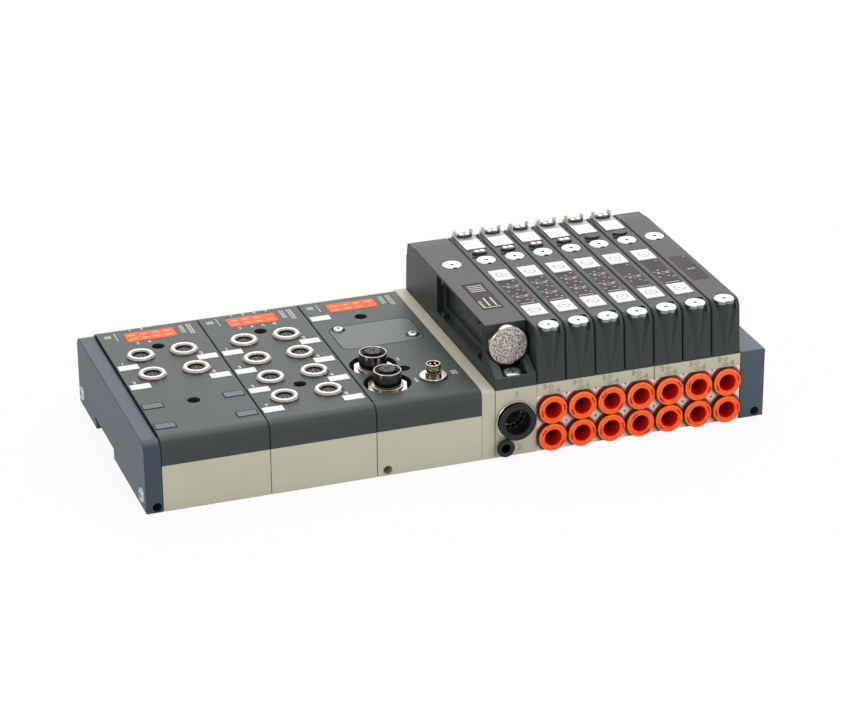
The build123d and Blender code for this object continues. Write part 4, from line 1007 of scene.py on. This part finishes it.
raised = []
for axis in port_axes[1::2]:
    for shift, rise, sign in ((-3.3, 4.4, "2"), (3.15, 1.9, "4")):
        place = on_face(axis.x + shift * MM, figure_y, tile_top + rise * MM)
        raised.append((figure(sign, 2.4 * MM, RAISED), place))
    for shift, rise in ((-0.3, 4.35), (-0.4, 1.75)):
        ring = turned("ring_mark", RING_MARK, 20)
        raised.append((ring, on_face(axis.x + shift * MM, base_front + SUNK, tile_top + rise * MM)))
    for shift, rise in ((-1.95, 4.35), (1.35, 1.75)):
        bar = stroke((-DASH_HALF * MM, 0), (DASH_HALF * MM, 0), 0.3 * MM)
        dash = slabs("dash", [bar], -SUNK, RAISED * 0.5, figure_cream)
        raised.append((dash, on_face(axis.x + shift * MM, base_front, tile_top + rise * MM)))
supply_figure = on_face(supply_axis.x + 0.4 * MM, figure_y, supply_axis.z + 12.8 * MM)
raised.append((figure("1", 3.0 * MM, RAISED), supply_figure))
pilot_axis = sum(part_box("pilot_collar"), Vector()) / 2
cross_spot = on_face(pilot_axis.x + 7.6 * MM, base_front + SUNK, pilot_axis.z - 1.6 * MM)
for lean in (-1, 1):
    bar = stroke((-1.1 * MM * lean, -1.6 * MM), (1.1 * MM * lean, 1.6 * MM), 0.4 * MM)
    raised.append((slabs("bar", [bar], 0, RAISED * (0.6 + 0.02 * lean), figure_cream), cross_spot))
piece("port_figures", gathered("port_figures", raised, figure_cream), "island")

# ---- Valve heads, blanked place and supply head
# Housings of the solenoid valves in the same dark grey plastic, with a screw column standing
# out of each front. The supply head carries the silencer and has an open window in its side.

head_plastic = moulded("head_plastic", tone(18, 28, 27), tone(36, 46, 44), 0.4, 0.6, 0.05 * MM)
for heads in ("valve_heads", "blanking_head"):
    dress(heads, head_plastic)
row_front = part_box("left_end_plate")[0].y
head_columns = [axis.x for axis in port_axes[1::2]]

# The front of a head and its column, in millimetres: heights above the rail, and depths behind
# the row's front. Pairs go from the foot to the crest.
FRONT_Z = (33.2, 59.6)
FRONT_DEPTH = (0.3, 2.6)
FRONT_ROUND = 5.0
COLUMN_Z = (35.0, 58.25)
COLUMN_R = (0.5, 4.4)
COLUMN_DEPTH = (0.8, 5.0)
VALLEY_MARGIN = 1.5
VALLEY_DEPTH = 0.75
FRONT_SINK = 0.05
COLUMN_PROUD = 0.03
CORNER_REACH = (0.3, 1.8)
FALL_AWAY = 3
ROOT_Z = (34.6, 58.15)
ROOT_HALF = 6.2
ROOT_THICK = 0.7
ROOT_NET = (32, 26)


def soft_least(a, b, reach):
    """The lesser of two depths, with the corner between them rounded off."""
    share = max(reach - abs(a - b), 0.0) / reach
    return min(a, b) - share * share * reach / 4


def between(pair, share):
    """The value that lies between a pair by a share of the way."""
    return pair[0] + (pair[1] - pair[0]) * share


def root_depth(across, z):
    """Depth of the front beside a column, at a place across from its axis and at a height."""
    flat = between(FRONT_DEPTH, (z - FRONT_Z[0]) / (FRONT_Z[1] - FRONT_Z[0]))
    over = z - (FRONT_Z[1] - FRONT_ROUND)
    if over > 0:
        flat = max(flat, FRONT_DEPTH[1] + FRONT_ROUND - math.sqrt(FRONT_ROUND ** 2 - over ** 2))
    rise = min(max((z - COLUMN_Z[0]) / (COLUMN_Z[1] - COLUMN_Z[0]), 0.0), 1.0)
    radius = between(COLUMN_R, rise)
    valley_half = radius + VALLEY_MARGIN * rise + 0.01
    dip = VALLEY_DEPTH * rise * math.sqrt(max(0.0, 1 - abs(across) / valley_half))
    within = max(radius * radius - across * across, 0.0)
    column = between(COLUMN_DEPTH, rise) - math.sqrt(within) - COLUMN_PROUD
    if within == 0.0:
        column += (abs(across) - radius) * FALL_AWAY
    return soft_least(column, flat + FRONT_SINK + dip, between(CORNER_REACH, rise))


def column_root(x):
    """Closed mesh of the soft root that joins one screw column to the front of its head."""
    made = bmesh.new()
    stops, steps = ROOT_NET
    sheets = []
    for thick in (0.0, ROOT_THICK):
        sheet = []
        for step in range(steps + 1):
            z = between(ROOT_Z, step / steps)
            line = []
            for stop in range(stops + 1):
                across = ROOT_HALF * (2 * stop / stops - 1)
                y = row_front + (root_depth(across, z) + thick) * MM
                line.append(made.verts.new((x + across * MM, y, z * MM)))
            sheet.append(line)
        sheets.append(sheet)
    front, back = sheets
    for a in range(steps):
        for b in range(stops):
            face = made.faces.new((front[a][b], front[a][b + 1], front[a + 1][b + 1], front[a + 1][b]))
            face.smooth = True
            made.faces.new((back[a][b], back[a + 1][b], back[a + 1][b + 1], back[a][b + 1]))
    for a in range(steps):
        for b in (0, stops):
            made.faces.new((front[a][b], front[a + 1][b], back[a + 1][b], back[a][b]))
    for b in range(stops):
        for a in (0, steps):
            made.faces.new((front[a][b], front[a][b + 1], back[a][b + 1], back[a][b]))
    bmesh.ops.recalc_face_normals(made, faces=made.faces)
    mesh = bpy.data.meshes.new("column_root")
    made.to_mesh(mesh)
    made.free()
    return mesh


in_place = Matrix.Identity(4)
roots = gathered("column_roots", [(column_root(x), in_place) for x in head_columns], head_plastic)
piece("column_roots", roots, "island")

PANEL_FROM = 3.0 * MM
PANEL_TO = 5.2 * MM
PANEL_FOOT = 8.0 * MM
window_panel = moulded("window_panel", tone(52, 60, 62), tone(62, 70, 72), 0.16, 0.26, 0.01 * MM)
head_low, head_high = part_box("supply_head")


def is_panel(middle, normal):
    """True for the smooth wall at the back of the supply head's side window."""
    deep = head_low.x + PANEL_FROM < middle.x < head_low.x + PANEL_TO
    return deep and abs(normal.x) > 0.9 and middle.z > head_low.z + PANEL_FOOT


dress("supply_head", head_plastic, window_panel, pick=is_panel)

# ---- Labels of the heads
# Dark brown film stuck between the two overrides of a valve, printed with pale flow symbols:
# three boxes, their arrows, and short dashed fields for the ratings.

film = mottled("label_film", tone(40, 35, 33), tone(56, 50, 47), 1600.0, 3.0, specular_ior_level=0.15)
film.rough(film.speckle(1500.0) * 0.2 + 0.4)
film_ink = mottled("label_ink", tone(206, 194, 180), tone(236, 226, 214), 2200.0, 3.0, roughness=0.5)

head_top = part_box("blanking_head")[1].z
FILM_TOP = head_top + 0.05 * MM
FILM_HALF = 4.5 * MM
FILM_Y = (29.3 * MM, 58.7 * MM)
SUPPLY_FILM_HALF = 4.7 * MM
SUPPLY_FILM_Y = (30.6 * MM, 60.4 * MM)


def patch(x, half, y_span):
    """Outline of a label about a head's middle line."""
    return oblong(x - half, row_front + y_span[0], x + half, row_front + y_span[1])


def on_film(x, y):
    """A spot on the printed face of a label, y millimetres behind the row's front."""
    return Vector((x, row_front + y * MM, FILM_TOP))


supply_x = (head_low.x + head_high.x) / 2
supply_film = patch(supply_x + 0.7 * MM, SUPPLY_FILM_HALF, SUPPLY_FILM_Y)
films = [patch(x, FILM_HALF, FILM_Y) for x in head_columns] + [supply_film]
piece("label_films", slabs("label_films", films, head_top - 0.02 * MM, FILM_TOP, film), "island")
# Painted shade: a near-black frame along the edge of the supply film.
film_edge = frame_of(supply_film[0], supply_film[2], 0.3 * MM)
edge_mesh = slabs("label_edge", film_edge, head_top - 0.01 * MM, FILM_TOP + 0.02 * MM, painted_shade_black)
piece("label_edge", edge_mesh, "island")


def flow_symbol(x, y, box):
    """Bars of a flow symbol: three boxes in a row, and a slanted arrow in the outer two."""
    bars = []
    line = 0.17 * MM
    for i in (-1, 0, 1):
        low = (x + (i - 0.5) * box, y)
        high = (x + (i + 0.5) * box, y + box)
        bars += frame_of(low, high, line)
        if i:
            bars.append(stroke((low[0] + 0.25 * box, low[1]), (high[0] - 0.25 * box, high[1]), line * 1.4))
            bars.append(stroke((low[0] + 0.25 * box, high[1]), (low[0] + 0.25 * box, low[1] + box / 2), line))
    bars.append(stroke((x - 0.2 * box, y - 0.45 * box), (x - 0.2 * box, y), line))
    bars.append(stroke((x + 0.2 * box, y + box), (x + 0.2 * box, y + 1.45 * box), line))
    return bars


SINGLE_FROM = 4
BLANKED = 6
TICKS = ((-3.5, 4.6), (3.3, 4.0), (-3.3, -1.6), (3.4, -2.6), (-0.8, 6.4), (1.4, -1.2))
bars = []
ticks = []
for number, x in enumerate(head_columns):
    if number == BLANKED:
        bars += flow_symbol(x + 0.3 * MM, row_front + 42.0 * MM, 1.1 * MM)
    else:
        for y in ((39.5,) if number >= SINGLE_FROM else (48.0, 36.0)):
            bars += flow_symbol(x + 0.2 * MM, row_front + (y + 2.0) * MM, 1.75 * MM)
            ticks += [on_film(x + across * MM, y + along) for across, along in TICKS]
    ticks.append(on_film(x + 2.8 * MM, 57.2))
symbol_mesh = slabs("flow_symbols", bars, FILM_TOP - 0.01 * MM, FILM_TOP + 0.02 * MM, film_ink)
piece("flow_symbols", symbol_mesh, "island")

# Dashed fields on the films: spots, columns and rows, steps, and sides of a dash.
FILM_FIELDS = (
    ("rating_dashes", [on_film(x, 30.9) for x in head_columns[:BLANKED]], (9, 1), (0.78, 0.0), (0.58, 0.5)),
    ("rating_ticks", ticks, (2, 1), (0.7, 0.0), (0.42, 0.6)),
    ("supply_words", [on_film(supply_x + 0.9 * MM, 54.4)], (7, 4), (1.0, 2.1), (0.7, 0.8)),
    ("supply_words_front", [on_film(supply_x - 3.0 * MM, 36.4)], (2, 5), (0.7, 1.6), (0.5, 0.9)),
    ("supply_lines", [on_film(supply_x + 1.7 * MM, 38.4)], (2, 1), (3.2, 0.0), (0.6, 9.6)),
    ("supply_base_line", [on_film(supply_x + 0.7 * MM, 32.2)], (9, 1), (0.95, 0.0), (0.7, 0.6)),
)
for name, spots, net, steps, dash in FILM_FIELDS:
    dashes(name, spots, film_ink, net, steps, (*dash, INK))

# ---- Manual overrides
# A pale square plate round each push button, which has a short slot and a fine gap all round
# in which it is pushed down. Both are moulded in a bright white plastic.

override_white = mottled("override_white", tone(202, 206, 206), tone(220, 223, 222), 110.0, roughness=0.4)
override_white.relief(override_white.speckle(1700.0), 0.01 * MM)
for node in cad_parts:
    if node.startswith("override_"):
        dress(node, override_white)

# ---- Lamps, label covers and paper labels
# Beige lenses over the valve's two lamps, and a clear snap-on plate at the back that protects
# a paper label. The plate is polished acrylic with two round pegs.

lens_beige = mottled(
    "lens_beige", tone(226, 208, 194), tone(244, 230, 218), 500.0, roughness=0.3, coat_weight=0.4,
    subsurface_weight=0.2, subsurface_radius=(0.002, 0.0014, 0.001),
)
dress("lamp_lenses", lens_beige)
clear = mottled(
    "clear_acrylic", tone(216, 212, 206), tone(234, 231, 226), 60.0, roughness=0.12, ior=1.49,
    transmission_weight=0.6,
)
dress("label_covers", clear)

PAPER_HALF = 4.8 * MM
PAPER_Y = (0.5 * MM, 10.7 * MM)
paper = mottled("label_paper", tone(243, 243, 242), tone(252, 252, 252), 1500.0, 3.0, roughness=0.7)
paper.relief(paper.speckle(2500.0), 0.01 * MM)
plate_top = head_top + 0.4 * MM
papers = []
for low, high in solids("label_covers"):
    x = (low.x + high.x) / 2
    papers.append(oblong(x - PAPER_HALF, low.y + PAPER_Y[0], x + PAPER_HALF, low.y + PAPER_Y[1]))
paper_mesh = slabs("paper_labels", papers, plate_top - 0.02 * MM, plate_top + 0.08 * MM, paper)
piece("paper_labels", paper_mesh, "island")

# ---- Flat screws of the heads
# Flat round screws, zinc-plated, with a small drive in the middle and a notch in the rim. The
# faces are turned, which leaves faint rings about each middle.

TURNING_RINGS = 14000.0
screw_face = Finish("turned_zinc", metallic=1.0)
pitch = head_columns[1] - head_columns[0]
across_row = screw_face.along("X") - (head_columns[0] - pitch / 2)
local_x = screw_face.maths("MODULO", across_row, pitch) - pitch / 2
screw_rows = [top.y for top in middles(solids("head_screws"))]
near_y = screw_face.along("Y") - min(screw_rows)
far_y = screw_face.along("Y") - max(screw_rows)
closer = screw_face.maths("ABSOLUTE", near_y) < screw_face.maths("ABSOLUTE", far_y)
local_y = closer * near_y + (1 - closer) * far_y
reach = screw_face.maths("SQRT", local_x * local_x + local_y * local_y)
rings = screw_face.maths("SINE", reach * TURNING_RINGS)
dust = screw_face.speckle(500.0, 4.0)
screw_face.colour(screw_face.blend(dust, tone(174, 183, 187), tone(200, 207, 210)))
screw_face.rough(rings * 0.05 + dust * 0.2 + 0.34)
screw_face.relief(rings * 0.3 + dust, 0.012 * MM)
# Painted shade: the upright sides of the screws take a darker zinc than their faces.
zinc_side_shade = metal("zinc_side_shade", tone(110, 118, 122), tone(150, 158, 162), 0.2, 0.34, 0.006 * MM)
dress("head_screws", screw_face, zinc_side_shade, pick=lambda middle, normal: abs(normal.z) < 0.5)

# ---- Silencer
# A nickel-plated cup screwed into the supply head. The air leaves through a disc of bronze
# beads that are sintered together, so its face is a rough bed of small grains; glints on them
# are painted into its colour.

sintered = Finish("sintered_bronze", metallic=0.85)
clump = sintered.speckle(1100.0, 1.0)
bead = sintered.speckle(2900.0, 1.0)
# Painted glints: the grains' colour turns near-white where the noise rises.
lift = (bead * 0.6 + clump * 0.4 - 0.4) * 4.6
glint = sintered.maths("MINIMUM", sintered.maths("MAXIMUM", lift, 0.0), 1.0)
sintered.colour(sintered.blend(glint, tone(58, 50, 46), tone(255, 248, 238)))
sintered.rough(bead * 0.3 + 0.3)
sintered.relief(bead, 0.18 * MM)

cup_low, cup_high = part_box("silencer")
cup_axis = (cup_low + cup_high) / 2
DISC_R = 8.4 * MM
DISC_EDGE = 0.02 * MM
DISC_Y = (0.2 * MM, 2.8 * MM)
BED_INSET = 0.25 * MM
BED_Y = 0.36 * MM


def is_disc(middle, normal):
    """True for the face of the sintered disc, which lies a little behind the cup's lip."""
    near = math.hypot(middle.x - cup_axis.x, middle.z - cup_axis.z) < DISC_R + DISC_EDGE
    return near and abs(normal.y) > 0.5 and cup_low.y + DISC_Y[0] < middle.y < cup_low.y + DISC_Y[1]


dress("silencer", nickel, sintered, pick=is_disc)

grains = Maker("sintered_grains", radius="size", grain="size", gap="size", seed="count")
bed = grains.node("GeometryNodeMeshCircle", {"fill_type": "TRIANGLE_FAN"}, {
    "Vertices": 64,
    "Radius": grains.ask("radius"),
})
strewn = grains.node("GeometryNodeDistributePointsOnFaces", {"distribute_method": "POISSON"}, {
    "Mesh": bed,
    "Distance Min": grains.ask("gap"),
    "Density Max": 9000000.0,
    "Seed": grains.ask("seed"),
})
grain_shape = grains.node("GeometryNodeMeshIcoSphere", values={
    "Radius": grains.ask("grain"),
    "Subdivisions": 1,
})
grain_turn = grains.node("FunctionNodeRandomValue", {"data_type": "FLOAT_VECTOR"}, {
    0: (0.0, 0.0, 0.0),
    1: (6.3, 6.3, 6.3),
    "Seed": grains.ask("seed"),
})
grain_size = grains.node("FunctionNodeRandomValue", {"data_type": "FLOAT"}, {
    2: 0.65,
    3: 1.15,
    "Seed": grains.ask("seed"),
}, output=1)
strewn_grains = grains.at_points(grain_shape, turn=grain_turn, points=strewn, size=grain_size)
grains.close(grains.at_points(strewn_grains, turn=(math.pi / 2, 0.0, 0.0)))
bed_spot = [Vector((cup_axis.x, cup_low.y + BED_Y, cup_axis.z))]
grain_mesh = grains.mesh(
    "silencer_grains", bed_spot, sintered, radius=DISC_R - BED_INSET, grain=0.3 * MM, gap=0.36 * MM, seed=3
)
piece("silencer_grains", grain_mesh, "island")

# ---- Floor, light and camera
# A plain pale floor under a white sky, with four large soft lamps: one over the row, one to
# the left and one to the right of its front, and one behind it.

FLOOR_HALF = 3.0
FLOOR_GAP = 0.2 * MM
floor_z = cad_box[0][2] - FLOOR_GAP
floor_mesh = bpy.data.meshes.new("floor")
corners = oblong(-FLOOR_HALF, -FLOOR_HALF, FLOOR_HALF, FLOOR_HALF)
floor_mesh.from_pydata([(x, y, floor_z) for x, y in corners], [], [(0, 1, 2, 3)])
floor = bpy.data.objects.new("floor", floor_mesh)
bpy.context.scene.collection.objects.link(floor)


class Lit(Nodes):
    """Nodes of the floor or of the sky, where what the camera and the gloss see is plain white."""

    def __init__(self, tree):
        self.tree = tree
        tree.nodes.clear()
        rays = self.node("ShaderNodeLightPath").socket.node
        camera, gloss, glass = [
            Wire(self, rays.outputs[f"Is {kind} Ray"]) for kind in ("Camera", "Glossy", "Transmission")
        ]
        self.seen = self.maths("MINIMUM", camera + gloss + glass, 1.0)

    def mixed(self, share, plain, seen):
        return self.node("ShaderNodeMixShader", values={0: share, 1: plain, 2: seen})


floor_paint = bpy.data.materials.new("floor_white")
floor_paint.use_nodes = True
floor_nodes = Lit(floor_paint.node_tree)
matt = floor_nodes.node("ShaderNodeBsdfDiffuse", values={"Color": (0.86, 0.86, 0.86, 1.0)})
bright = floor_nodes.node("ShaderNodeEmission", values={"Strength": 1.0})
floor_mix = floor_nodes.mixed(floor_nodes.seen * 0.9, matt, bright)
floor_out = floor_nodes.tree.nodes.new("ShaderNodeOutputMaterial")
floor_nodes.join(floor_mix, floor_out.inputs["Surface"])
floor_mesh.materials.append(floor_paint)

SKY = 0.56
sky = bpy.data.worlds.new("sky")
bpy.context.scene.world = sky
sky.use_nodes = True
sky_nodes = Lit(sky.node_tree)
faint = sky_nodes.node("ShaderNodeBackground", values={"Strength": SKY})
white = sky_nodes.node("ShaderNodeBackground", values={"Strength": 1.0})
sky_mix = sky_nodes.mixed(sky_nodes.seen, faint, white)
sky_out = sky_nodes.tree.nodes.new("ShaderNodeOutputWorld")
sky_nodes.join(sky_mix, sky_out.inputs["Surface"])


def softbox(name, place, aim, side, power):
    """A square lamp that looks at a point."""
    lamp = bpy.data.lights.new(name, "AREA")
    lamp.size = side
    lamp.energy = power
    made = bpy.data.objects.new(name, lamp)
    made.location = place
    made.rotation_euler = (Vector(aim) - Vector(place)).to_track_quat("-Z", "Y").to_euler()
    bpy.context.scene.collection.objects.link(made)


softbox("top_softbox", (0.1, 0.2, 1.5), (0.0, 0.0, 0.0), 1.2, 13.0)
softbox("left_softbox", (-2.2, -1.0, 1.5), (0.0, 0.0, 0.02), 1.4, 15.0)
softbox("right_softbox", (1.1, -1.1, 0.5), (0.12, 0.0, 0.02), 0.8, 7.0)
softbox("back_softbox", (0.5, 1.42, 0.75), (0.0, 0.0, 0.0), 1.5, 11.0)

camera_data = bpy.data.cameras.new("camera")
camera_data.lens = 129.84
camera_data.sensor_width = 36.0
camera = bpy.data.objects.new("camera", camera_data)
camera.location = (-0.4165, -1.2139, 0.6088)
camera.rotation_euler = [math.radians(turn) for turn in (65.493, 0.447, -19.199)]
bpy.context.scene.collection.objects.link(camera)
bpy.context.scene.camera = camera
bpy.context.scene.view_settings.view_transform = "Standard"
